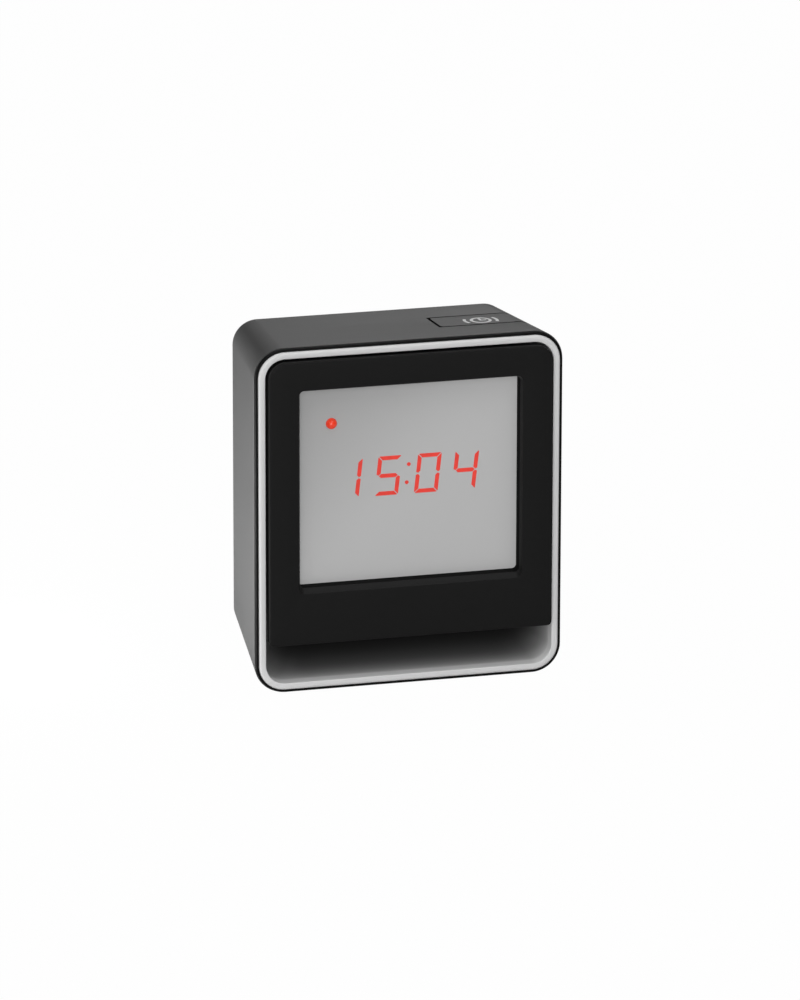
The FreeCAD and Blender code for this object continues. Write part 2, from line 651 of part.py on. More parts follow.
def rear_cover():
    """The rear cover with its door opening, button holes, slider slot and sound holes."""
    body = new_body("rear_cover_body")
    nodes.remove(body)
    rounded_pad(
        body, "cover_half", "cover_low", "cover_high", "cover_radius", "cover_front", "cover_front + cover_thick")
    corners = [("%d * post_across" % side, up) for side in (-1, 1) for up in ("post_low", "post_high")]
    holes(body, corners, "screw_radius + 0.15", "cover_front", "cover_thick")
    holes(body, corners, "screw_head + 0.2", "cover_front + 1", "cover_thick")
    caps = [("%d * cap_pitch" % step, "cap_up") for step in (-1, 0, 1)]
    holes(body, caps, "cap_radius + cap_clearance", "cover_front", "cover_thick")
    grille = [("buzzer_across", "buzzer_up")]
    for turn in range(6):
        angle = math.radians(60 * turn + 30)
        grille.append(("buzzer_across + %.4f" % (3.2 * math.cos(angle)), "buzzer_up + %.4f" % (3.2 * math.sin(angle))))
    holes(body, grille, "0.75", "cover_front", "cover_thick")
    doorway = block(
        ("-door_half - door_gap", "door_half + door_gap"), ("cover_front - 1", "cover_front + cover_thick + 1"),
        ("door_low - door_gap", "door_high + door_gap"))
    slot = block(
        ("slider_across - slider_width / 2 - slider_travel - 0.2", "slider_across + slider_width / 2 + slider_travel + 0.2"),
        ("cover_front - 1", "cover_front + cover_thick + 1"),
        ("slider_up - slider_height / 2 - 0.1", "slider_up + slider_height / 2 + 0.1"))
    pins = rod(
        "pin_radius + pin_clearance", "2 * (door_half + pin_length + 0.15)", "-door_half - pin_length - 0.15",
        "cover_front + cover_thick - door_thick / 2", "door_low + door_thick / 2", ALONG_X)
    posts, bores = [], []
    for across in (-28.0, 28.0):
        for up in ("rear_low + 8", "rear_high - 4"):
            length = "cover_front - rear_front - board_thick"
            posts.append(rod("2.4", length, across, "rear_front + board_thick", up))
            bores.append(rod("0.9", length, across, "rear_front + board_thick", up))
    node(cut(fuse(body, *posts), doorway, slot, pins, *bores), "rear_cover")
    screws = []
    for across, up in corners:
        head = rod("screw_head", "1.0", across, "cover_front + 1", up)
        shank = rod("screw_radius - 0.15", "12", across, "cover_front - 11", up)
        slot_x = block(("%s - 1.4" % across, "%s + 1.4" % across), ("cover_front + 1.5", "cover_front + 3"), ("%s - 0.3" % up, "%s + 0.3" % up))
        slot_z = block(("%s - 0.3" % across, "%s + 0.3" % across), ("cover_front + 1.5", "cover_front + 3"), ("%s - 1.4" % up, "%s + 1.4" % up))
        screws.append(cut(fuse(head, shank), slot_x, slot_z))
    node(group(*screws), "cover_screws")
    screws = []
    for across in (-28.0, 28.0):
        for up in ("rear_low + 8", "rear_high - 4"):
            shank = rod("0.9", "board_thick + 4", across, "rear_front", up)
            screws.append(fuse(shank, rod("1.8", "1.1", across, "rear_front - 1.1", up)))
    node(group(*screws), "main_board_screws")


def battery_parts():
    """The bay behind the door, three cells, their contacts and the hinged door."""
    outside = block(
        ("-bay_half - bay_wall", "bay_half + bay_wall"), ("bay_front - bay_wall", "cover_front"),
        ("bay_low - bay_wall", "bay_high + bay_wall"))
    inside = block(("-bay_half", "bay_half"), ("bay_front", "cover_front + 1"), ("bay_low", "bay_high"))
    flange = cut(
        block(
            ("-door_half - 2.5", "door_half + 2.5"), ("cover_front - 1.2", "cover_front"),
            ("door_low - 2", "door_high + 2")),
        block(("-bay_half", "bay_half"), ("cover_front - 2", "cover_front + 1"), ("bay_low", "bay_high")))
    node(fuse(cut(outside, inside), flange), "battery_bay")
    start = -size("cell_length") / 2
    plates, leaves = [], []
    for step, label in enumerate(("lower_cell", "middle_cell", "upper_cell")):
        side = -1 if step % 2 else 1
        up = "(bay_low + bay_high) / 2 + %d * cell_pitch" % (step - 1)
        middle = "bay_front + cell_radius + 0.3"
        can = rod("cell_radius", "cell_length", start - 0.6 * side, middle, up, ALONG_X)
        tip_start = start - 0.6 * side + (size("cell_length") if side > 0 else -0.9)
        tip = rod("1.9", "0.9", tip_start, middle, up, ALONG_X)
        node(fuse(can, tip), label)
        wall = size("bay_half") - 0.4
        plus, minus = sorted((side * wall, side * size("bay_half"))), sorted((-side * wall, -side * size("bay_half")))
        span = ("(%s) - 4" % up, "(%s) + 4" % up)
        back = ("bay_front + 1", "bay_front + 9.5")
        plates.append(block(plus, back, span))
        leaf_tip = sorted((-side * wall, start * side - 0.6 * side + 0.0))
        middle_span = ("(%s) - 1.5" % up, "(%s) + 1.5" % up)
        bump = block(leaf_tip, ("(%s) - 1.5" % middle, "(%s) + 1.5" % middle), middle_span)
        leaves.append(fuse(block(minus, back, span), bump))
        plus_bump = sorted((side * wall, start * 0 + tip_start + (0.9 if side > 0 else 0.0)))
        plates[-1] = fuse(plates[-1], block(plus_bump, ("(%s) - 1.2" % middle, "(%s) + 1.2" % middle), middle_span))
    node(group(*plates), "positive_contacts")
    node(group(*leaves), "negative_contacts")
    rear = "cover_front + cover_thick"
    panel = block(
        ("-door_half", "door_half"), ("%s - door_thick" % rear, rear), ("door_low + door_thick / 2", "door_high"))
    axis = ("%s - door_thick / 2" % rear, "door_low + door_thick / 2")
    barrel = rod("door_thick / 2", "2 * door_half", "-door_half", *axis, ALONG_X)
    pins = rod("pin_radius", "2 * (door_half + pin_length)", "-door_half - pin_length", *axis, ALONG_X)
    grip = block(("-6", "6"), ("%s - 0.9" % rear, "%s + 1" % rear), ("door_high - 2.2", "door_high + 1"))
    ribs = [block(("-6", "6"), ("%s - 0.5" % rear, "%s + 1" % rear), ("door_high - %s" % (4.6 + 1.6 * i), "door_high - %s" % (3.8 + 1.6 * i))) for i in range(3)]
    node(cut(fuse(panel, barrel, pins), grip, *ribs), "battery_door")


def top_key():
    """The key let into the top right corner of the case, its switch, stem and small board."""
    skin = cut(
        taper_loft("0", "0", "case_depth", "front_radius", "back_radius"),
        taper_loft("case_wall", "0", "case_depth", "front_radius - case_wall", "back_radius - case_wall"))
    reach = block(
        ("key_left", "case_width"), ("key_front", "key_back"), ("key_low", "case_height + 5"))
    cap = pair("Part::Common", skin, reach)
    slope = "(case_taper / case_depth)"
    lip_points = []
    for depth, drop in (("key_front - key_lip", 0.1), ("key_back + key_lip", 0.1), ("key_back + key_lip", 1.1), ("key_front - key_lip", 1.1)):
        roof = size("case_height - case_wall - %s * (%s)" % (slope, depth))
        lip_points.append(Vector(0, size(depth), roof - drop))
    lip = doc.addObject("Part::Feature", "Lip")
    left = size("key_left - key_lip")
    right = size("case_width / 2 - front_radius - 1.5")
    outline = [point + Vector(left, 0, 0) for point in lip_points]
    face = Part.Face(Part.makePolygon(outline + outline[:1]))
    lip.Shape = face.extrude(Vector(right - left, 0, 0))
    neck = block(
        ("key_left + 0.2", "case_width / 2 - front_radius - 1.5"), ("key_front + 0.2", "key_back - 0.2"),
        ("case_height - case_wall - %s * key_back - 0.9" % slope, "case_height - case_wall - %s * key_front" % slope))
    neck_in = pair("Part::Common", neck, taper_loft("case_wall / 2", "0", "case_depth", "front_radius - 1", "back_radius - 1"))
    stalk = rod("stem_radius + 1", "case_height - 3.5 - stem_top", "stem_across", "stem_back", "stem_top", ALONG_Z)
    node(fuse(cap, lip, neck_in, stalk), "top_key")
    stem_low = "shelf_top + 2.4"
    node(group(rod("stem_radius", "stem_top - (%s)" % stem_low, "stem_across", "stem_back", stem_low, ALONG_Z)), "top_switch_stem")
    half = "switch_size / 2"
    body = block(
        ("stem_across - %s" % half, "stem_across + %s" % half), ("stem_back - %s" % half, "stem_back + %s" % half),
        ("shelf_top", "shelf_top + switch_height"))
    bore = rod("stem_radius + stem_clearance", "3", "stem_across", "stem_back", "shelf_top + 1.6", ALONG_Z)
    node(cut(body, bore), "top_switch")
    shelf = block(
        ("shelf_left", "shelf_right"), ("key_front", "shelf_back"), ("shelf_top - board_thick", "shelf_top"))
    bores, screws = [], []
    for across in ("shelf_left + 4", "shelf_right - 6"):
        bores.append(rod("1.1", "4", across, "shelf_back - 3", "shelf_top - 3", ALONG_Z))
        shank = rod("0.9", "board_thick + 4", across, "shelf_back - 3", "shelf_top - board_thick", ALONG_Z)
        head = rod("1.8", "1.1", across, "shelf_back - 3", "shelf_top - board_thick - 1.1", ALONG_Z)
        screws.append(fuse(shank, head))
    node(cut(shelf, *bores), "top_switch_board")
    node(group(*screws), "top_board_screws")


def rear_controls():
    """Three set buttons and the alarm slider, with the switches they work."""
    seat = "rear_front + board_thick"
    housings = []
    names = ("hour", "minute", "alarm")
    for step, name in zip((-1, 0, 1), names):
        across = "%d * cap_pitch" % step
        head = rod("cap_radius", "cap_end - cover_front + 0.1", across, "cover_front - 0.1", "cap_up")
        flange = rod("cap_radius + 1", "1.0", across, "cover_front - 1.1", "cap_up")
        dimple = doc.addObject("Part::Sphere", "Dimple")
        bind(dimple, Radius="8", Placement__Base__x=across, Placement__Base__y="cap_end + 7.6", Placement__Base__z="cap_up")
        node(cut(fuse(head, flange), dimple), name + "_button")
        start = "%s + switch_height - 1.1" % seat
        stem = rod("stem_radius", "cover_front - 1.1 - (%s)" % start, across, start, "cap_up")
        node(group(stem), name + "_switch_stem")
        half = "switch_size / 2"
        housing = block(
            ("(%s) - %s" % (across, half), "(%s) + %s" % (across, half)), (seat, "%s + switch_height" % seat),
            ("cap_up - %s" % half, "cap_up + %s" % half))
        bore = rod("stem_radius + stem_clearance", "3", across, "%s + switch_height - 2.0" % seat, "cap_up")
        housings.append(cut(housing, bore))
    node(group(*housings), "set_switches")
    knob = block(
        ("slider_across - slider_width / 2", "slider_across + slider_width / 2"), ("cover_front - 0.1", "cap_end"),
        ("slider_up - slider_height / 2", "slider_up + slider_height / 2"))
    plate = block(
        ("slider_across - 7", "slider_across + 7"), ("cover_front - 1.1", "cover_front - 0.1"),
        ("slider_up - 3", "slider_up + 3"))
    lever = block(
        ("slider_across - 1", "slider_across + 1"), ("%s + 2.2" % seat, "cover_front - 1.1"), ("slider_up - 1", "slider_up + 1"))
    grooves = [block(("slider_across + %s" % (x - 0.2), "slider_across + %s" % (x + 0.2)), ("cap_end - 0.3", "cap_end + 1"), ("slider_up - 3", "slider_up + 3")) for x in (-1.2, -0.4, 0.4, 1.2)]
    node(cut(fuse(knob, plate, lever), *grooves), "alarm_slider")
    body = block(
        ("slider_across - 6", "slider_across + 6"), (seat, "%s + 3.6" % seat), ("slider_up - 3.2", "slider_up + 3.2"))
    track = block(
        ("slider_across - 3.2", "slider_across + 3.2"), ("%s + 1.9" % seat, "%s + 5" % seat),
        ("slider_up - 1.1", "slider_up + 1.1"))
    node(cut(body, track), "alarm_slide_switch")
    can = rod("buzzer_radius", "5.2", "buzzer_across", seat, "buzzer_up")
    port = rod("1.0", "2", "buzzer_across", "%s + 4" % seat, "buzzer_up")
    node(cut(can, port), "buzzer")


def inner_wiring():
    """The flat cable between the two boards with its sockets, and the battery leads."""
    back = "board_front + board_thick"
    front_socket = block(("-7.5", "7.5"), (back, "%s + 3" % back), ("board_low + 45", "board_low + 48"))
    rear_socket = block(("-7.5", "7.5"), ("rear_front - 3", "rear_front"), ("board_low + 45", "board_low + 48"))
    node(group(front_socket, rear_socket), "cable_sockets")
    start, end = size("%s + 3" % back), size("rear_front - 3")
    level = size("board_low + 46.5")
    sag, thick = 5.0, 0.35
    third = (end - start) / 3
    upper, lower = [], []
    for y, z in ((start, 0.0), (start + third, -sag), (end - third, -sag), (end, 0.0)):
        upper.append(Vector(-6, y, level + z + thick / 2))
        lower.append(Vector(-6, y, level + z - thick / 2))
    ribbon = doc.addObject("Part::Feature", "Ribbon")
    outline = upper + lower[::-1]
    ribbon.Shape = Part.Face(Part.makePolygon(outline + outline[:1])).extrude(Vector(12, 0, 0))
    node(ribbon, "ribbon_cable")
    leads = []
    for across in (-20.0, 20.0):
        leads.append(rod("0.6", "rear_low - bay_high - bay_wall", across, "rear_front + 0.8", "bay_high + bay_wall", ALONG_Z))
    node(group(*leads), "battery_leads")


def feet():
    """Four rubber feet, square to the sloping underside."""
    lean = math.atan(size("case_taper / case_depth"))
    down = Vector(0, math.sin(lean), -math.cos(lean))
    turn = FreeCAD.Rotation(Vector(0, 0, 1), down)
    pads = []
    for across in (-1, 1):
        for depth in ("foot_front", "foot_back"):
            level = "%s * case_taper / case_depth" % depth
            pads.append(rod("foot_radius", "foot_height", "%d * foot_across" % across, depth, level, turn))
    node(group(*pads), "rubber_feet")
    return lean


case_shell()
front_gasket()
front_tray()
window_bevels(front_plate())
display()
lens_carrier()
indicator_lamp()
board_holes = [("%d * 31" % side, up) for side in (-1, 1) for up in ("board_low + 4", "board_high - 3")]
front_board = board("display_board", "board_half", "board_low", "board_high", "board_front", board_holes, "1.1")
lead_holes = [("lamp_across - 1.27", "lamp_up"), ("lamp_across + 1.27", "lamp_up")]
holes(front_board, lead_holes, "0.45", "board_front", "board_thick")
rear_holes = [("%d * 28" % side, up) for side in (-1, 1) for up in ("rear_low + 8", "rear_high - 4")]
board("main_board", "rear_half", "rear_low", "rear_high", "rear_front", rear_holes, "1.1")
chip("driver_chip", 0.0, "board_front + board_thick", 50.0, 12.8, 7.5, 10)
chip("clock_chip", 0.0, "rear_front + board_thick", 66.0, 10.2, 6.0, 7)
rear_cover()
battery_parts()
top_key()
rear_controls()
inner_wiring()
lean = feet()
crystal = rod("1.0", "6", "-8", "rear_front + board_thick + 1.0", "67", ALONG_Z)
node(group(crystal), "clock_crystal")
doc.recompute()

# The clock is stood on its underside, and moved so that the origin is at the middle of the
# bottom of its bounding box.
stand = FreeCAD.Placement(Vector(), FreeCAD.Rotation(Vector(1, 0, 0), -math.degrees(lean)))
for item in nodes:
    item.Placement = stand.multiply(item.Placement)
doc.recompute()
box = Part.makeCompound([item.Shape for item in nodes]).optimalBoundingBox(False, False)
shift = Vector(-(box.XMin + box.XMax) / 2, -(box.YMin + box.YMax) / 2, -box.ZMin)
for item in nodes:
    item.Placement = FreeCAD.Placement(shift, FreeCAD.Rotation()).multiply(item.Placement)
doc.recompute()

for item in doc.Objects:
    if "Invalid" in item.State or "Error" in item.State:
        raise RuntimeError("%s (%s) is %s" % (item.Name, item.Label, item.State))
for item in nodes:
    if item.Shape.isNull() or not item.Shape.isValid():
        raise RuntimeError(item.Label + " has a bad shape")

os.makedirs("parts", exist_ok=True)
for item in nodes:
    item.Shape.exportStep("parts/%s.step" % item.Label)
print(len(nodes), "nodes, shift", shift, "box", box)
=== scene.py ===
import json
import math

import bmesh
import bpy
import numpy as np
from bpy.props import FloatProperty, FloatVectorProperty, PointerProperty
from mathutils import Matrix, Vector


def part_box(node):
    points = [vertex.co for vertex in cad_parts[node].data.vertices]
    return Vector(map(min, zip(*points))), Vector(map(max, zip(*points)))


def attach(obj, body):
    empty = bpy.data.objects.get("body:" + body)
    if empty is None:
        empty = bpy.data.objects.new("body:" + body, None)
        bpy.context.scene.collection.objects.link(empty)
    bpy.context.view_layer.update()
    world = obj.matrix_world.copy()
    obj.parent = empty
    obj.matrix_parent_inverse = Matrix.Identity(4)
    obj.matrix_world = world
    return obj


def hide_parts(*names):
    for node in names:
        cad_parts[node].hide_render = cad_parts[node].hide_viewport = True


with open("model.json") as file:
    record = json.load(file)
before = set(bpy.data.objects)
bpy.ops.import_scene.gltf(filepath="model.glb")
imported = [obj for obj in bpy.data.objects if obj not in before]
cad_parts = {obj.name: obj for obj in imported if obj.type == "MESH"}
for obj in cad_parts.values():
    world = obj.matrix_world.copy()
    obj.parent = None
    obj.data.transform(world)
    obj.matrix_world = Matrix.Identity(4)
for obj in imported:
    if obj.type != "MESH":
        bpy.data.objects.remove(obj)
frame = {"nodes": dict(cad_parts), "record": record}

bl_info = {
    "name": "Leaning desk clock",
    "version": (1, 0, 0),
    "blender": (4, 5, 0),
    "location": "View3D > Sidebar > Clock",
    "description": "Builds the looks of a small desk clock around its solid model",
    "category": "Object",
}

BODY_OF = {node: body for body, nodes in frame["record"]["behaviour"]["bodies"].items() for node in nodes}
SLOT_OF = {part["node"]: part["material_slot"] for part in frame["record"]["subparts"]}

# Shapes are worked out in millimetres as the clock was drawn: X to the right, Y from the
# case's front edge to the back, Z up along the front. stand() puts them in their place.
# An inset is how far a line lies inside the case's outline at its front edge.
WIDE, TALL, DEEP, TAPER = 92.0, 104.3, 46.2, 4.6
FRONT_CORNER, BACK_CORNER = 8.85, 7.25
LEAN = math.atan(TAPER / DEEP)
CASE_LOW, CASE_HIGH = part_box("case_shell")
SHIFT_BACK = CASE_HIGH.y * 1000 - (DEEP * math.cos(LEAN) + (TALL - TAPER) * math.sin(LEAN))
SHIFT_UP = CASE_LOW.z * 1000

# The case and the key: their wall, their edges, how far the case's sheet turns in over its
# front edge, the opening in the case, and the key that lies in it.
WALL, CASE_EDGE, KEY_EDGE = 1.8, 0.12, 0.15
TURN_IN = np.array([0.45, 0.12])
OPENING_FRONT, OPENING_BACK, OPENING_LEFT, OPENING_LOW = 14.25, 30.15, 12.9, 85.8
KEY_FRONT, KEY_BACK, KEY_LEFT, KEY_LOW, KEY_CORNER = 15.2, 29.15, 13.65, 87.1, 1.0
KEY_FLAT_END, KEY_SIDE_TOP = 35.0, 94.0

# The gasket's insets, its face and the face of its web, both ahead of the case.
GASKET_OUTER, GASKET_INNER, GASKET_PROUD, WEB_PROUD = 0.3, 1.8, 1.3, 0.6
GASKET_ROUND, GASKET_CHAMFER, GASKET_CLEAR = 0.2, 0.1, 0.02

# The rim's insets and roundings. The dish's back, its inner end, and how much its corners
# tighten as its sides come in. The tub round the dish.
RIM_OUTER, RIM_INNER, RIM_ROUND, RIM_LIP = 1.0, 3.1, 0.9, 0.25
DISH_BACK, DISH_END, DISH_CORNER = 10.9, 14.5, 0.35
TUB_BACK, TUB_FRONT_INSET, TUB_BACK_INSET = 12.4, 2.05, 3.4

# The front plate, its window and the skirt behind it.
PLATE_HALF, PLATE_LOW, PLATE_HIGH, PLATE_THICK, PLATE_EDGE = 42.3, 15.3, 100.7, 2.4, 0.35
PLATE_CORNER, PLATE_LOW_CORNER, PLATE_LEAST_CORNER = 5.1, 1.3, 0.3
WINDOW_HALF, WINDOW_LOW, WINDOW_HIGH, WINDOW_SHIFT = 33.35, 30.75, 92.1, -0.15
WINDOW_CORNER, WINDOW_LEAST_CORNER, WINDOW_LIP = 1.75, 1.2, 0.2
WINDOW_BEVEL, SILL_BEVEL, LENS_FACE = 0.5, 1.4, 1.0
SKIRT_HALF, SKIRT_LOW, SKIRT_HIGH, SKIRT_CORNER, SKIRT_WALL, SKIRT_END = 36.5, 19.0, 94.0, 2.0, 1.0, 9.95

# The indicator lamp: its place, its radius, its tip ahead of the lens and its end behind it.
LAMP_ACROSS, LAMP_UP, LAMP_RADIUS, LAMP_TIP, LAMP_END = -22.72, 80.2, 1.65, 1.5, 2.5

# The sign on the key: its place, its stretch from front to back as a share of that depth, the
# radius of its ring and of its arcs, and half the widths of their lines and of the hands.
SIGN_ACROSS, SIGN_BACK, SIGN_STRETCH = 27.0, 20.8, 0.75
SIGN_RING, SIGN_ARC, SIGN_LINE, SIGN_HAND = 2.7, 4.7, 0.45, 0.4

# Edges of the solids whose copies are rounded.
SOFT_EDGES = {
    "rear_cover": 0.2, "battery_door": 0.2, "hour_button": 0.3, "minute_button": 0.3, "alarm_button": 0.3,
    "alarm_slider": 0.12, "cover_screws": 0.12, "rubber_feet": 0.2}

# Each soft light's place in metres, its width and height, and its power. All look at the clock.
LIGHTS = (
    ("front_light", (-0.35, -1.35, 0.62), 0.9, 0.9, 11.8),
    ("small_front_light", (-0.85, -0.75, 1.0), 0.14, 0.14, 1.6),
    ("top_light", (0.25, -0.3, 0.95), 0.6, 0.5, 3.0),
    ("side_light", (-0.2, -0.02, 0.03), 0.06, 0.06, 0.12),
    ("low_side_light", (-0.12, 0.02, 0.02), 0.06, 0.03, 0.08),
    ("side_back_light", (-0.12, 0.1, 0.03), 0.05, 0.03, 0.014),
    ("back_light", (0.0, 1.3, 0.8), 0.8, 0.5, 3.0),
    ("back_right_light", (0.5, 1.2, 0.35), 0.6, 0.5, 0.4),
)
LIT_POINT = (0.0, 0.0, 0.05)
FLOOR_HALF, FLOOR_GREY, FLOOR_WHITE, ROOM_LIGHT = 4.0, 0.62, 0.985, 0.05

# The camera's yaw, pitch and roll in degrees, its place as the clock was drawn, and its lens.
CAMERA_TURN = (14.4110, 17.4760, 0.1157)
CAMERA_PLACE = (-527.725, -2043.909, 720.274)
CAMERA_LENS, CAMERA_SENSOR = 274.803, 36.0


def stand(points):
    """Leans points back by the lean, moves them to the clock's place and gives metres."""
    points = np.asarray(points, float)
    x, y, z = points[..., 0], points[..., 1], points[..., 2]
    back = y * math.cos(LEAN) + z * math.sin(LEAN) + SHIFT_BACK
    up = z * math.cos(LEAN) - y * math.sin(LEAN) + SHIFT_UP
    return np.stack([x, back, up], -1) / 1000


def smooth(mesh, sharp):
    """Shades a mesh smooth, apart from edges that turn by more than an angle in degrees."""
    mesh.shade_smooth()
    mesh.set_sharp_from_angle(angle=math.radians(sharp))


def add_piece(name, mesh, material, body):
    """Adds a mesh to the scene as a piece with a finish, a body and a slot."""
    piece = bpy.data.objects.new(name, mesh)
    bpy.context.scene.collection.objects.link(piece)
    mesh.materials.clear()
    mesh.materials.append(material)
    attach(piece, body)
    return piece


def finish_mesh(name, points, faces, material, body, sharp=35.0, reach=None):
    """Makes a piece of points in millimetres, with its faces turned outwards.

    reach is a value for each point that a finish can read, such as how far it is from an edge.
    """
    mesh = bpy.data.meshes.new(name)
    mesh.from_pydata(stand(points).reshape(-1, 3), [], [tuple(face) for face in faces])
    if reach is not None:
        mesh.attributes.new("reach", "FLOAT", "POINT").data.foreach_set("value", np.ravel(reach))
    work = bmesh.new()
    work.from_mesh(mesh)
    bmesh.ops.remove_doubles(work, verts=work.verts, dist=1e-7)
    bmesh.ops.recalc_face_normals(work, faces=work.faces)
    work.to_mesh(mesh)
    work.free()
    smooth(mesh, sharp)
    return add_piece(name, mesh, material, body)


def quads(rows, columns, ring=True, loop=False):
    """The four corner numbers of each face between neighbouring rows and columns of a grid.

    With ring, the last column joins the first. With loop, the last row joins the first.
    """
    number = np.arange(rows * columns).reshape(rows, columns)
    if loop:
        number = np.vstack([number, number[:1]])
    if ring:
        number = np.hstack([number, number[:, :1]])
    return np.stack([number[:-1, :-1], number[:-1, 1:], number[1:, 1:], number[1:, :-1]], -1)


def wrap(name, grid, material, body, closed=False, sharp=35.0, reach=None):
    """A surface over rows of points, where each row is a ring.

    Closed, the last row joins the first. Otherwise the first and the last row get a lid.
    """
    rows, columns = grid.shape[:2]
    faces = quads(rows, columns, loop=closed).reshape(-1, 4).tolist()
    if not closed:
        first = list(range(columns))
        last = list(range((rows - 1) * columns, rows * columns))
        faces += [first, last[::-1]]
    return finish_mesh(name, grid.reshape(-1, 3), faces, material, body, sharp, reach)


def rounded(half, low, high, top_radius, low_radius=None, steps=14):
    """Rings round rounded rectangles, one for each value of the given columns.

    A point is its corner's centre plus the corner's radius along an angle that goes
    once round, so the straight sides join the end of one corner to the start of the next.
    """
    half, low, high, top_radius = np.broadcast_arrays(
        *(np.atleast_1d(np.asarray(value, float)) for value in (half, low, high, top_radius)))
    if low_radius is None:
        low_radius = top_radius
    low_radius = np.broadcast_to(np.asarray(low_radius, float), half.shape)
    corners = (
        (-90, 1, -1, low_radius), (0, 1, 1, top_radius), (90, -1, 1, top_radius), (180, -1, -1, low_radius))
    turn = np.radians(np.linspace(0, 90, steps))
    rings = []
    for start, side, upper, radius in corners:
        angle = turn + math.radians(start)
        x = side * (half - radius)
        z = (high - radius) if upper > 0 else (low + radius)
        across = x[:, None] + radius[:, None] * np.cos(angle)
        rings.append(np.stack([across, z[:, None] + radius[:, None] * np.sin(angle)], -1))
    return np.concatenate(rings, axis=1)


def at_depth(rings, depth):
    """Gives rings of (x, z) their depths, one for each ring."""
    depth = np.broadcast_to(np.asarray(depth, float)[:, None], rings.shape[:2])
    return np.stack([rings[..., 0], depth, rings[..., 1]], -1)


def case_rings(inset, depth, corner_inset=None):
    """Rings at insets from the case's outline at its front edge.

    The corners shrink by the same insets or by those given for them, down to a least radius.
    """
    least_corner = 0.4
    inset = np.asarray(inset, float)
    corner = FRONT_CORNER - (inset if corner_inset is None else np.asarray(corner_inset, float))
    corner = np.maximum(corner, least_corner)
    return at_depth(rounded(WIDE / 2 - inset, inset, TALL - inset, corner), depth)


def taper_at(depth):
    """The case's inset and its corner radius at a depth. Both change evenly from front to back."""
    return TAPER * depth / DEEP, FRONT_CORNER - (FRONT_CORNER - BACK_CORNER) * depth / DEEP


def bend(centre, radius, first, last, steps=6):
    """Points along an arc of a section, from a first to a last angle in degrees."""
    angle = np.radians(np.linspace(first, last, steps))
    return np.stack([centre[0] + radius * np.cos(angle), centre[1] + radius * np.sin(angle)], -1)


def round_edges(piece, edge, segments):
    """Rounds a piece's sharp edges by a size in millimetres."""
    bevel = piece.modifiers.new("edge", "BEVEL")
    bevel.width = edge / 1000
    bevel.segments = segments
    bevel.limit_method = "ANGLE"
    bevel.angle_limit = math.radians(50)
    bevel.use_clamp_overlap = True


def thicken(piece, edge):
    """Gives an open sheet the case's wall on the side of the clock's middle, and small rounded edges.

    The faces across the wall get the gasket's dull black as painted shade, standing in for the shade in the
    narrow grooves and gaps that they line.
    """
    mesh = piece.data
    # The gasket's black goes on the wall's cut faces as painted shade.
    mesh.materials.append(MATERIALS["gasket"])
    centres = np.zeros(len(mesh.polygons) * 3)
    normals = np.zeros(len(mesh.polygons) * 3)
    mesh.polygons.foreach_get("center", centres)
    mesh.polygons.foreach_get("normal", normals)
    from_middle = centres.reshape(-1, 3) - np.array((CASE_LOW + CASE_HIGH) / 2)
    outwards = float((from_middle * normals.reshape(-1, 3)).sum()) > 0
    solid = piece.modifiers.new("wall", "SOLIDIFY")
    solid.thickness = WALL / 1000
    solid.offset = -1 if outwards else 1
    solid.material_offset_rim = 1
    round_edges(piece, edge, 3)


def soften(node, edge):
    """Puts a merged copy of a solid in its place, with its edges rounded by a size in millimetres."""
    mesh = frame["nodes"][node].data.copy()
    mesh.name = node + "_skin"
    work = bmesh.new()
    work.from_mesh(mesh)
    bmesh.ops.remove_doubles(work, verts=work.verts, dist=1e-6)
    bmesh.ops.dissolve_limit(
        work, angle_limit=math.radians(1.5), verts=work.verts, edges=work.edges, delimit={"NORMAL"})
    bmesh.ops.recalc_face_normals(work, faces=work.faces)
    work.to_mesh(mesh)
    work.free()
    smooth(mesh, 35.0)
    piece = add_piece(mesh.name, mesh, MATERIALS[SLOT_OF[node]], BODY_OF[node])
    round_edges(piece, edge, 2)
    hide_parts(node)


class Field:
    """A shader socket that can be used in sums, so that a pattern reads as a formula."""

    def __init__(self, tree, socket):
        self.tree = tree
        self.socket = socket

    def node(self, kind, settings=None, output=0, **values):
        """Adds a node of a type, with its settings first and then its sockets' values or links.

        A socket is called by its name, or by i and its number.
        """
        node = self.tree.nodes.new(kind)
        for key, value in (settings or {}).items():
            setattr(node, key, value)
        for key, value in values.items():
            numbered = key[0] == "i" and key[1:].isdigit()
            socket = node.inputs[int(key[1:]) if numbered else key.replace("_", " ")]
            if isinstance(value, Field):
                self.tree.links.new(value.socket, socket)
            else:
                socket.default_value = value
        return Field(self.tree, node.outputs[output])

    def math(self, operation, other=0.0, flip=False):
        first, second = (other, self) if flip else (self, other)
        return self.node("ShaderNodeMath", {"operation": operation}, i0=first, i1=second)

    def __add__(self, other):
        return self.math("ADD", other)

    __radd__ = __add__

    def __sub__(self, other):
        return self.math("SUBTRACT", other)

    def __rsub__(self, other):
        return self.math("SUBTRACT", other, flip=True)

    def __mul__(self, other):
        return self.math("MULTIPLY", other)

    __rmul__ = __mul__

    def __truediv__(self, other):
        return self.math("DIVIDE", other)

    def __rtruediv__(self, other):
        return self.math("DIVIDE", other, flip=True)

    def most(self, other):
        return self.math("MAXIMUM", other)

    def size(self):
        return self.math("ABSOLUTE")

    def step(self, low, high):
        """Rises smoothly from 0 at low to 1 at high."""
        smoothly = {"interpolation_type": "SMOOTHSTEP"}
        return self.node("ShaderNodeMapRange", smoothly, i0=self, i1=low, i2=high, i3=0.0, i4=1.0)

    def between(self, low, high):
        """A colour between two colours, by this value."""
        return self.node("ShaderNodeMix", {"data_type": "RGBA"}, output=2, i0=self, i6=low, i7=high)


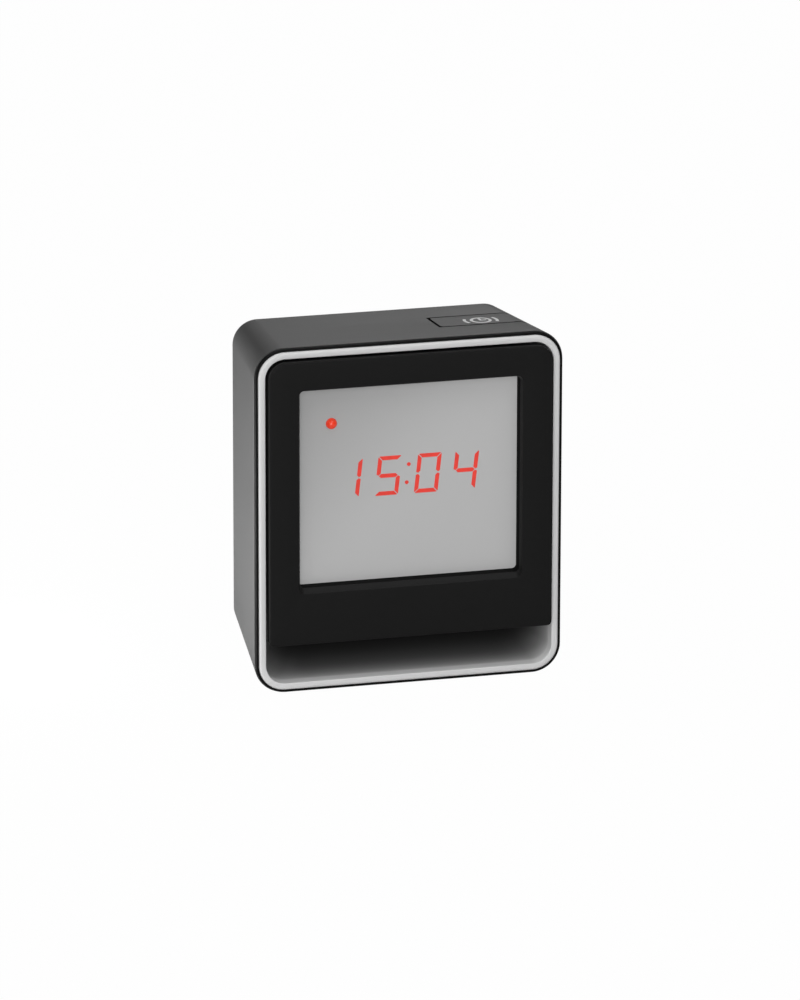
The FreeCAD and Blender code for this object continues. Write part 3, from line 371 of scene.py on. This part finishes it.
def shade(level):
    """A linear grey from a display level of 0 to 255."""
    value = level / 255
    linear = value / 12.92 if value <= 0.04045 else ((value + 0.055) / 1.055) ** 2.4
    return (linear, linear, linear, 1.0)


def paint(colour, share=1.0):
    """A colour with full cover, with a share of its brightness."""
    return tuple(value * share for value in tuple(colour)[:3]) + (1.0,)


def new_material(name, colour, roughness, metallic=0.0, **more):
    """A plain finish: a Principled shader with the same values all over."""
    material = bpy.data.materials.new(name)
    material.use_nodes = True
    shader = material.node_tree.nodes["Principled BSDF"]
    shader.inputs["Base Color"].default_value = paint(colour)
    shader.inputs["Roughness"].default_value = roughness
    shader.inputs["Metallic"].default_value = metallic
    for key, value in more.items():
        shader.inputs[key.replace("_", " ")].default_value = value
    return material


def start_field(material):
    """The position on the piece in metres, as a vector field, and the shader it will feed."""
    tree = material.node_tree
    coordinates = tree.nodes.new("ShaderNodeTexCoord")
    return Field(tree, coordinates.outputs["Object"]), tree.nodes["Principled BSDF"]


def feed(shader, name, field):
    """Links a field to one of the shader's sockets."""
    field.tree.links.new(field.socket, shader.inputs[name])


def drawn_place(position):
    """Width, depth and height as the clock was drawn, in millimetres, from a place on the standing clock."""
    split = position.node("ShaderNodeSeparateXYZ", i0=position)
    tree, node = split.tree, split.socket.node
    x = Field(tree, node.outputs[0]) * 1000
    back = Field(tree, node.outputs[1]) * 1000 - SHIFT_BACK
    up = Field(tree, node.outputs[2]) * 1000 - SHIFT_UP
    depth = back * math.cos(LEAN) - up * math.sin(LEAN)
    height = up * math.cos(LEAN) + back * math.sin(LEAN)
    return x, depth, height


def grain(position, shader, size, height, roughness, spread):
    """Fine moulded grain: noise of a size and height in millimetres, which also stirs the roughness."""
    noise = position.node("ShaderNodeTexNoise", Vector=position, Scale=1000 / size, Detail=2.0)
    bump = position.node("ShaderNodeBump", Height=noise, Distance=height / 1000, Strength=1.0)
    feed(shader, "Normal", bump)
    feed(shader, "Roughness", noise * spread + (roughness - spread / 2))


def moulded(name, colour, roughness, size=0.5, height=0.004, spread=0.06, **more):
    """Moulded plastic or rubber with a fine grain."""
    material = new_material(name, colour, roughness, **more)
    position, shader = start_field(material)
    grain(position, shader, size, height, roughness, spread)
    return material


def brushed(name, colour, roughness):
    """Plated metal with faint streaks along X: noise that is squeezed across them."""
    material = new_material(name, colour, roughness, metallic=1.0)
    position, shader = start_field(material)
    along = position.node("ShaderNodeMapping", Vector=position, Scale=(150.0, 6000.0, 6000.0))
    noise = position.node("ShaderNodeTexNoise", Vector=along, Scale=1.0, Detail=2.0)
    feed(shader, "Roughness", noise * 0.2 + (roughness - 0.1))
    return material


def silver_with_painted_dish_shade(colour, dish, fade, roughness):
    """Silver lacquer with painted shade inside the dish: its colour fades to near black there, standing in
    for the shade under the front plate.

    The share of silver that is left falls off as the exponential of how far the surface has
    gone into the dish, from a start onwards. This painted shade falls a little more slowly on the dish's
    sides.
    """
    shade_start, side_start, side_width, side_share = 2.5, 28.0, 14.0, 0.28
    material = new_material("silver_lacquer_painted_dish_shade", colour, roughness, Specular_IOR_Level=0.2)
    position, shader = start_field(material)
    grain(position, shader, size=0.35, height=0.002, roughness=roughness, spread=0.05)
    reach = position.node("ShaderNodeAttribute", {"attribute_name": "reach"}, output=2)
    # Painted shade in the dish: darker the further the surface reaches in, and more slowly on the dish's
    # sides.
    sides = (drawn_place(position)[0].size() - side_start).step(0.0, side_width)
    left = ((reach - shade_start).most(0.0) * (sides * side_share - 1) * (1 / fade)).math("EXPONENT")
    # The base colour runs from the painted dish shade to the silver.
    feed(shader, "Base Color", left.between(paint(dish), paint(colour)))
    feed(shader, "Roughness", (1 - left) * 0.5 + roughness)
    return material


def plate_with_painted_shade(colour, roughness, proud):
    """Black satin on the plate's face, with painted shade: dull black on its outer side walls, and deep
    inside its window and behind it, where shade falls.
    """
    material = moulded(
        "plate_satin_painted_shade", colour, roughness, size=0.3, height=0.0015, spread=0.05, Specular_IOR_Level=0.1)
    position, shader = start_field(material)
    x, depth, _ = drawn_place(position)
    # Painted shade on the plate's outer side walls, at six tenths of full black.
    side_shade_band = (x.size() - (PLATE_HALF - 0.2)).step(0.0, 0.15)
    edge = side_shade_band * depth.step(-proud - 0.1, -proud + 0.2) * 0.6
    # Painted shade deep inside the window, from the end of the sill's bevel backwards.
    sill_end = SILL_BEVEL - proud
    deep = depth.step(sill_end - 0.05, sill_end + 0.25).most(edge)
    feed(shader, "Base Color", deep.between(paint(colour), shade(3)))
    feed(shader, "Roughness", deep * 0.4 + roughness)
    return material


def lens_with_painted_light(colour, roughness):
    """Grey film behind a clear sheet, with a faint even painted glow that stands in for light where the
    window's walls shade the film.

    Its colour is a painted reflection: a little darker along a slope to the upper left, with soft noise in
    it.
    """
    # Emission_Strength gives the painted glow.
    material = new_material(
        "lens_film_painted_light", colour, roughness, Coat_Weight=0.35, Coat_Roughness=0.06, Emission_Strength=0.36)
    position, shader = start_field(material)
    # middle, span and stir place and soften the painted reflection's slope; thin is how dark it makes the
    # upper left.
    middle, span, stir, thin = 62.0, 60.0, 0.3, 0.76
    x, _, height = drawn_place(position)
    noise = position.node("ShaderNodeTexNoise", Vector=position, Scale=14.0, Detail=1.0)
    painted_reflection_slope = ((height - middle) / span - (x / span) + noise * stir).step(0.0, 1.15)
    film_tone_painted_reflection = painted_reflection_slope.between(paint(colour), paint(colour, thin))
    feed(shader, "Base Color", film_tone_painted_reflection)
    feed(shader, "Emission Color", film_tone_painted_reflection)
    return material


def light_finish(name, glow, strength, base=None, roughness=0.35):
    """A lit part: its glow is a little weaker in soft patches, as the lamp behind it is a point."""
    material = new_material(name, base or paint(glow, 0.5), roughness, Emission_Strength=strength)
    position, shader = start_field(material)
    noise = position.node("ShaderNodeTexNoise", Vector=position, Scale=420.0, Detail=1.0)
    feed(shader, "Emission Color", noise.step(0.3, 0.7).between(paint(glow, 0.8), paint(glow)))
    return material


def key_finish(colour, roughness, ink):
    """The case's plastic with a printed sign: a clock face with an arc on each side of it.

    The ring and the arcs lie at two distances from the sign's middle, and the hands along its
    two axes. The arcs show only well to the side of the middle.
    """
    material = moulded("key_finish", colour, roughness)
    position, shader = start_field(material)
    x, depth, height = drawn_place(position)
    across, away = x - SIGN_ACROSS, (depth - SIGN_BACK) * SIGN_STRETCH
    distance = (across * across + away * away).math("SQRT")

    def line(field, half):
        """1 where a field is below half a line's width, with a soft edge."""
        return (half - field).step(-0.05, 0.05)

    face = line((distance - SIGN_RING).size(), SIGN_LINE)
    long_hand = line(across.size(), SIGN_HAND) * line((away - 0.9).size(), 1.2)
    short_hand = line(away.size(), SIGN_HAND) * line((across - 0.7).size(), 1.0)
    arcs = line((distance - SIGN_ARC).size(), SIGN_LINE) * line(away.size() - across.size() * 0.55, 0.0)
    on_top = height.step(TALL - 4.3, TALL - 3.3)
    sign = face.most(long_hand).most(short_hand).most(arcs) * on_top
    feed(shader, "Base Color", sign.between(paint(colour), ink))
    return material


def board_finish():
    """Green lacquer over copper: the copper shows as slightly paler bands, which are a sine of a sine."""
    material = new_material("green_board", (0.02, 0.12, 0.05), 0.4)
    position, shader = start_field(material)
    x, _, height = drawn_place(position)
    lines = (x * 1.2 + (height * 0.35).math("SINE") * 2.0).math("SINE").step(0.5, 0.75)
    feed(shader, "Base Color", lines.between((0.015, 0.09, 0.04, 1), (0.03, 0.17, 0.07, 1)))
    return material


MATERIALS = {}


def make_materials(looks):
    """All finishes, by the names of the record's slots.

    "key", "plate" and "lamp" stand for parts of three slots.
    """
    case, case_sheen = looks.case_colour, looks.case_roughness
    plate, plate_sheen = looks.plate_colour, looks.plate_roughness
    MATERIALS.update({
        "case": moulded("case_plastic", case, case_sheen, size=0.4, height=0.0025, spread=0.05),
        "key": key_finish(case, case_sheen, ink=shade(250)),
        "silver": silver_with_painted_dish_shade(looks.silver_colour, looks.dish_shade_colour, looks.dish_shade_fade, roughness=0.34),
        "gasket": moulded("gasket_rubber_and_groove_shade", shade(8), 0.6, Specular_IOR_Level=0.12),
        "plate": plate_with_painted_shade(plate, plate_sheen, looks.plate_proud),
        "black_satin": moulded("black_satin", plate, plate_sheen),
        "grey_lens": lens_with_painted_light(looks.lens_colour, roughness=0.3),
        "red_light": light_finish("lit_red", looks.light_colour, looks.light_strength),
        "lamp": light_finish(
            "lamp_red", (0.75, 0.035, 0.012), 0.25, base=(0.82, 0.05, 0.02), roughness=0.12),
        "white_plastic": moulded("white_moulding", shade(225), 0.5),
        "steel": brushed("plated_steel", shade(190), 0.3),
        "board": board_finish(),
        "component": moulded("black_moulding", shade(40), 0.5),
        "key_plastic": moulded("button_plastic", shade(92), 0.45),
        "cell_sleeve": moulded("cell_sleeve", (0.05, 0.14, 0.28), 0.35, size=2.0, height=0.001),
        "wire": moulded("grey_insulation", shade(150), 0.5),
        "rubber": moulded("foot_rubber", shade(38), 0.7, size=0.8, height=0.02),
    })


def colour_property(name, description, default):
    """A colour that a user can change."""
    return FloatVectorProperty(
        name=name, description=description, size=3, subtype="COLOR", min=0, max=1, default=default[:3])


def sheen_property(name, description, default):
    """A roughness that a user can change."""
    return FloatProperty(name=name, description=description, default=default, min=0, max=1, subtype="FACTOR")


class ClockLooks(bpy.types.PropertyGroup):
    """Sizes and colours that a user would change."""

    case_colour: colour_property("Case", "Colour of the case", shade(72))
    case_roughness: sheen_property("Case sheen", "Roughness of the case", 0.36)
    silver_colour: colour_property("Rim", "Colour of the silver rim", shade(222))
    # The dish's painted shade: the colour it darkens to, and the distance over which the silver fades.
    dish_shade_colour: colour_property("Dish", "Colour deep inside the dish", shade(10))
    dish_shade_fade: FloatProperty(
        name="Dish fade", description="Millimetres over which the silver fades to a third",
        default=2.4, min=1, max=20)
    plate_colour: colour_property("Front plate", "Colour of the front plate", shade(25))
    plate_roughness: sheen_property("Plate sheen", "Roughness of the front plate", 0.45)
    lens_colour: colour_property("Window", "Colour of the grey window", shade(164))
    light_colour: colour_property("Digits", "Colour of the lit bars", (0.8, 0.05, 0.035))
    light_strength: FloatProperty(
        name="Glow", description="Strength of the lit bars", default=0.58, min=0, max=5)
    rim_proud: FloatProperty(
        name="Rim height", description="Rim's face ahead of the case, in millimetres",
        default=1.65, min=0.5, max=3)
    plate_proud: FloatProperty(
        name="Plate height", description="Front plate's face ahead of the case, in millimetres",
        default=4.0, min=2, max=6)
    dish_round: FloatProperty(
        name="Dish rounding", description="Radius of the curve round the dish's back, in millimetres",
        default=9.0, min=4, max=9.2)


class CLOCK_OT_parts(bpy.types.Operator):
    """Give every solid its finish"""

    bl_idname = "clock.parts"
    bl_label = "Other parts"

    def execute(self, context):
        for name, item in frame["nodes"].items():
            item.data.materials.clear()
            item.data.materials.append(MATERIALS[SLOT_OF[name]])
        return {"FINISHED"}


class CLOCK_OT_case(bpy.types.Operator):
    """Build the case with its soft edges and the opening for the key"""

    bl_idname = "clock.case"
    bl_label = "Case"

    def execute(self, context):
        # Rings of the tapered outline, from the front to the back. The first two turn the
        # sheet inwards over its front edge.
        depth = np.array([0.0, 0.0, CASE_EDGE, OPENING_FRONT, OPENING_BACK, DEEP - 0.2, DEEP])
        inset, corner = taper_at(depth)
        inset[:2] += TURN_IN
        corner[:2] -= TURN_IN
        steps = 20
        rings = rounded(WIDE / 2 - inset, inset, TALL - inset, corner, steps=steps)
        # Two more columns follow the ends of the key's opening: one on the right-hand side
        # before the upper corner, and one on the top after it.
        side = np.stack([WIDE / 2 - inset, np.full_like(inset, OPENING_LOW)], -1)[:, None]
        top = np.stack([np.full_like(inset, OPENING_LEFT), TALL - inset], -1)[:, None]
        before, after = steps, 2 * steps
        rings = np.concatenate(
            [rings[:, :before], side, rings[:, before:after], top, rings[:, after:]], axis=1)
        grid = at_depth(rings, depth)
        faces = quads(*grid.shape[:2])
        keep = np.ones(faces.shape[:2], bool)
        keep[depth.tolist().index(OPENING_FRONT), before:after + 1] = False
        faces = faces[keep].tolist()
        piece = finish_mesh("case_skin", grid, faces, MATERIALS["case"], "clock", sharp=40)
        thicken(piece, CASE_EDGE)
        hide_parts("case_shell")
        return {"FINISHED"}


class CLOCK_OT_gasket(bpy.types.Operator):
    """Build the thin black gasket that shows as a line round the rim"""

    bl_idname = "clock.gasket"
    bl_label = "Gasket"

    def execute(self, context):
        # A section of insets and depths, carried round the case's outline.
        shoulder = GASKET_PROUD - GASKET_CHAMFER
        section = np.concatenate([
            [[GASKET_OUTER, -GASKET_CLEAR]],
            bend((GASKET_OUTER + GASKET_ROUND, GASKET_ROUND - shoulder), GASKET_ROUND, 180, 270),
            [[RIM_OUTER - GASKET_CHAMFER, -GASKET_PROUD], [RIM_OUTER, -shoulder], [RIM_OUTER, -WEB_PROUD],
             [GASKET_INNER, -WEB_PROUD], [GASKET_INNER, -GASKET_CLEAR]]])
        grid = case_rings(section[:, 0], section[:, 1])
        gasket = wrap("gasket_skin", grid, MATERIALS["gasket"], "clock", closed=True)
        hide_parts("front_gasket")
        return {"FINISHED"}


class CLOCK_OT_tray(bpy.types.Operator):
    """Build the silver rim and the dish behind it"""

    bl_idname = "clock.tray"
    bl_label = "Rim and dish"

    def execute(self, context):
        # A section carried round the case's outline: the rim with its two roundings, a quarter
        # circle from the dish's side to its back, and the tub's wall on the way back.
        looks = context.scene.clock_looks
        face, bowl_round = -looks.rim_proud, looks.dish_round
        angle = np.radians(np.linspace(0, 90, 25))
        bowl = np.stack([
            RIM_INNER + bowl_round - bowl_round * np.cos(angle),
            DISH_BACK - bowl_round + bowl_round * np.sin(angle)], -1)
        bowl[:, 0] += bowl[:, 1] * TAPER / DEEP
        front = np.concatenate([
            [[RIM_OUTER, -WEB_PROUD]],
            bend((RIM_OUTER + RIM_ROUND, face + RIM_ROUND), RIM_ROUND, 180, 270),
            bend((RIM_INNER - RIM_LIP, face + RIM_LIP), RIM_LIP, 270, 360)])
        behind = [
            [DISH_END, DISH_BACK], [DISH_END, TUB_BACK], [TUB_BACK_INSET, TUB_BACK],
            [TUB_FRONT_INSET, -WEB_PROUD]]
        section = np.concatenate([front, bowl, behind])
        inset, depth = section[:, 0], section[:, 1]
        # Inside the dish the corners tighten more slowly than its sides come in.
        corner_inset = np.where(inset > RIM_INNER, RIM_INNER + DISH_CORNER * (inset - RIM_INNER), inset)
        corner_inset[-2:] = inset[-2:]
        # How far along the section each row is from the end of the rim; the silver finish paints the dish's
        # shade by it.
        travelled = np.concatenate([[0], np.cumsum(np.hypot(*np.diff(section, axis=0).T))])
        reach = np.maximum(travelled - travelled[len(front) - 1], 0)
        reach[-2:] = reach.max()
        grid = case_rings(inset, depth, corner_inset)
        tray = wrap(
            "tray_skin", grid, MATERIALS["silver"], "clock", closed=True, sharp=50,
            reach=np.broadcast_to(reach[:, None], grid.shape[:2]))
        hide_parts("front_tray")
        return {"FINISHED"}


class CLOCK_OT_plate(bpy.types.Operator):
    """Build the black front plate with its window and the skirt that carries it"""

    bl_idname = "clock.plate"
    bl_label = "Front plate"

    def execute(self, context):
        # Rings from the plate's rear edge over its face, down the window's bevels to the lens,
        # and round the skirt to the rear again. Each rounding is a quarter circle.
        looks = context.scene.clock_looks
        face, rear = -looks.plate_proud, PLATE_THICK - looks.plate_proud
        turn = np.radians(np.linspace(0, 90, 7))
        inset = np.concatenate([[0.0], PLATE_EDGE - PLATE_EDGE * np.cos(turn)])
        depth = np.concatenate([[rear], face + PLATE_EDGE - PLATE_EDGE * np.sin(turn)])
        outer = at_depth(rounded(
            PLATE_HALF - inset, PLATE_LOW + inset, PLATE_HIGH - inset, PLATE_CORNER - inset,
            np.maximum(PLATE_LOW_CORNER - inset, PLATE_LEAST_CORNER)), depth)
        lip = WINDOW_LIP * np.sin(turn) - WINDOW_LIP
        into = np.concatenate([lip, [WINDOW_BEVEL, WINDOW_BEVEL]])
        sill = np.concatenate([lip, [SILL_BEVEL, SILL_BEVEL]])
        drop = np.concatenate([
            face + WINDOW_LIP - WINDOW_LIP * np.cos(turn), [face + SILL_BEVEL, LENS_FACE]])
        window = at_depth(rounded(
            WINDOW_HALF - into, WINDOW_LOW + sill, WINDOW_HIGH - into,
            np.maximum(WINDOW_CORNER - into, WINDOW_LEAST_CORNER)), drop)
        window[..., 0] += WINDOW_SHIFT
        wall = np.array([SKIRT_WALL, SKIRT_WALL, 0.0, 0.0])
        skirt = at_depth(rounded(
            SKIRT_HALF - wall, SKIRT_LOW + wall, SKIRT_HIGH - wall, SKIRT_CORNER - wall),
            [LENS_FACE, SKIRT_END, SKIRT_END, rear])
        grid = np.concatenate([outer, window, skirt])
        plate = wrap("plate_skin", grid, MATERIALS["plate"], "clock", closed=True, sharp=40)
        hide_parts("front_plate")
        return {"FINISHED"}


class CLOCK_OT_lamp(bpy.types.Operator):
    """Build the round red lamp"""

    bl_idname = "clock.lamp"
    bl_label = "Indicator lamp"

    def execute(self, context):
        # Circles along the depth: a half ball at the front and a straight body behind it.
        # The first circle is tiny and gets a lid.
        ball = np.radians(np.linspace(2, 90, 16))
        around = np.radians(np.linspace(0, 360, 48, endpoint=False))
        spread = np.concatenate([LAMP_RADIUS * np.sin(ball), [LAMP_RADIUS, LAMP_RADIUS]])
        depth = LENS_FACE + np.concatenate([
            LAMP_RADIUS - LAMP_TIP - LAMP_RADIUS * np.cos(ball), [0.1, LAMP_END]])
        x = LAMP_ACROSS + spread[:, None] * np.cos(around)
        z = LAMP_UP + spread[:, None] * np.sin(around)
        grid = np.stack([x, np.broadcast_to(depth[:, None], x.shape), z], -1)
        lamp = wrap("lamp_dome", grid, MATERIALS["lamp"], "clock")
        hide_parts("indicator_lamp")
        return {"FINISHED"}


class CLOCK_OT_key(bpy.types.Operator):
    """Build the key that follows the case over its top right corner"""

    bl_idname = "clock.key"
    bl_label = "Top key"

    def execute(self, context):
        # Rows run along the key: over the top, round the case's corner and down its side.
        # Columns run from the key's front to its back, and draw in at its rounded left end.
        quarter = np.radians(np.linspace(0, 90, 6))
        round_end = KEY_LEFT + KEY_CORNER * (1 - np.cos(quarter))
        across = np.concatenate([round_end, np.linspace(KEY_LEFT + 3, KEY_FLAT_END, 5)])[:, None]
        turn = np.radians(np.linspace(90, 0, 20))[:, None]
        down = np.linspace(KEY_SIDE_TOP, KEY_LOW, 4)[:, None]
        tuck = np.zeros((len(across) + len(turn) + len(down), 1))
        tuck[:len(quarter), 0] = KEY_CORNER * (1 - np.sin(quarter))
        depth = (KEY_FRONT + KEY_BACK) / 2 + ((KEY_BACK - KEY_FRONT) / 2 - tuck) * np.linspace(-1, 1, 9)
        inset, radius = taper_at(depth)
        x, z = WIDE / 2 - inset, TALL - inset
        bent = slice(len(across), len(across) + len(turn))
        x[:bent.start] = across
        x[bent] += radius[bent] * (np.cos(turn) - 1)
        z[bent] += radius[bent] * (np.sin(turn) - 1)
        z[bent.stop:] = down
        grid = np.stack([x, depth, z], -1)
        faces = quads(*grid.shape[:2], ring=False).reshape(-1, 4).tolist()
        piece = finish_mesh("key_skin", grid, faces, MATERIALS["key"], "key", sharp=40)
        thicken(piece, KEY_EDGE)
        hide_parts("top_key")
        return {"FINISHED"}


class CLOCK_OT_back(bpy.types.Operator):
    """Round the edges of the rear cover, the door, the buttons, the screws and the feet"""

    bl_idname = "clock.back"
    bl_label = "Back and feet"

    def execute(self, context):
        for node, edge in SOFT_EDGES.items():
            soften(node, edge)
        return {"FINISHED"}


class CLOCK_OT_stage(bpy.types.Operator):
    """Place the pale floor, the soft lights and the camera"""

    bl_idname = "clock.stage"
    bl_label = "Stage"

    def execute(self, context):
        place_floor(context.scene)
        place_room(context.scene)
        for light in LIGHTS:
            place_light(context.scene, *light)
        place_camera(context.scene)
        context.scene.view_settings.view_transform = "Standard"
        return {"FINISHED"}


def place_floor(scene):
    """A pale floor that the camera sees as nearly white, with the clock's shadow on it."""
    mesh = bpy.data.meshes.new("floor")
    corners = [(x * FLOOR_HALF, y * FLOOR_HALF, 0) for x, y in ((-1, -1), (1, -1), (1, 1), (-1, 1))]
    mesh.from_pydata(corners, [], [(0, 1, 2, 3)])
    floor = bpy.data.objects.new("floor", mesh)
    scene.collection.objects.link(floor)
    material = bpy.data.materials.new("pale_floor")
    material.use_nodes = True
    tree = material.node_tree
    camera_ray = Field(tree, tree.nodes.new("ShaderNodeLightPath").outputs["Is Camera Ray"])
    grey = camera_ray.node("ShaderNodeBsdfDiffuse", Color=(FLOOR_GREY, FLOOR_GREY, FLOOR_GREY, 1))
    white = camera_ray.node("ShaderNodeEmission", Color=(1, 1, 1, 1), Strength=1.0)
    mixed = camera_ray.node("ShaderNodeMixShader", i0=camera_ray * FLOOR_WHITE, i1=grey, i2=white)
    tree.links.new(mixed.socket, tree.nodes["Material Output"].inputs["Surface"])
    mesh.materials.append(material)


def place_room(scene):
    """A room that the camera sees as white and that lights the clock only faintly."""
    world = bpy.data.worlds.new("studio")
    scene.world = world
    world.use_nodes = True
    tree = world.node_tree
    tree.nodes.clear()
    camera_ray = Field(tree, tree.nodes.new("ShaderNodeLightPath").outputs["Is Camera Ray"])
    dim = camera_ray.node("ShaderNodeBackground", Color=(1, 1, 1, 1), Strength=ROOM_LIGHT)
    bright = camera_ray.node("ShaderNodeBackground", Color=(1, 1, 1, 1), Strength=1.0)
    mixed = camera_ray.node("ShaderNodeMixShader", i0=camera_ray, i1=dim, i2=bright)
    output = tree.nodes.new("ShaderNodeOutputWorld")
    tree.links.new(mixed.socket, output.inputs["Surface"])


def place_light(scene, name, place, width, height, power):
    """A soft light that looks at the clock and that the camera doesn't see."""
    data = bpy.data.lights.new(name, "AREA")
    data.shape = "RECTANGLE"
    data.size, data.size_y = width, height
    data.energy = power
    light = bpy.data.objects.new(name, data)
    scene.collection.objects.link(light)
    light.location = place
    light.visible_camera = False
    light.rotation_euler = (Vector(LIT_POINT) - Vector(place)).to_track_quat("-Z", "Y").to_euler()


def place_camera(scene):
    """A long lens from the left, above and in front, in a place worked out from the photograph's edges.

    Yaw and pitch give the direction ahead, roll turns right and up about it, and the lean
    then turns all three as it does the clock.
    """
    yaw, pitch, roll = np.radians(CAMERA_TURN)
    ahead = np.array([math.sin(yaw) * math.cos(pitch), math.cos(yaw) * math.cos(pitch), -math.sin(pitch)])
    right = np.array([math.cos(yaw), -math.sin(yaw), 0.0])
    up = np.cross(right, ahead)
    right, up = math.cos(roll) * right + math.sin(roll) * up, -math.sin(roll) * right + math.cos(roll) * up
    lean = np.array([
        [1, 0, 0],
        [0, math.cos(LEAN), math.sin(LEAN)],
        [0, -math.sin(LEAN), math.cos(LEAN)]])
    turn = lean @ np.stack([right, up, -ahead], -1)
    data = bpy.data.cameras.new("camera")
    data.sensor_width = CAMERA_SENSOR
    data.lens = CAMERA_LENS
    data.clip_start, data.clip_end = 0.05, 20.0
    camera = bpy.data.objects.new("camera", data)
    scene.collection.objects.link(camera)
    matrix = Matrix(turn.tolist()).to_4x4()
    matrix.translation = Vector(stand(CAMERA_PLACE))
    camera.matrix_world = matrix
    scene.camera = camera


class CLOCK_PT_panel(bpy.types.Panel):
    """The clock's sizes, colours and pieces"""

    bl_idname = "CLOCK_PT_panel"
    bl_label = "Desk clock"
    bl_space_type = "VIEW_3D"
    bl_region_type = "UI"
    bl_category = "Clock"

    def draw(self, context):
        looks = context.scene.clock_looks
        for name in ClockLooks.__annotations__:
            self.layout.prop(looks, name)
        for operator in OPERATORS:
            self.layout.operator(operator.bl_idname)


OPERATORS = (
    CLOCK_OT_parts, CLOCK_OT_case, CLOCK_OT_gasket, CLOCK_OT_tray, CLOCK_OT_plate, CLOCK_OT_lamp,
    CLOCK_OT_key, CLOCK_OT_back, CLOCK_OT_stage)


def register():
    for item in (ClockLooks,) + OPERATORS + (CLOCK_PT_panel,):
        bpy.utils.register_class(item)
    bpy.types.Scene.clock_looks = PointerProperty(type=ClockLooks)


def unregister():
    del bpy.types.Scene.clock_looks
    for item in (CLOCK_PT_panel,) + OPERATORS[::-1] + (ClockLooks,):
        bpy.utils.unregister_class(item)


def main():
    register()
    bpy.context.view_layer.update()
    make_materials(bpy.context.scene.clock_looks)
    for operator in OPERATORS:
        group, name = operator.bl_idname.split(".")
        getattr(getattr(bpy.ops, group), name)()


if __name__ == "__main__":
    main()
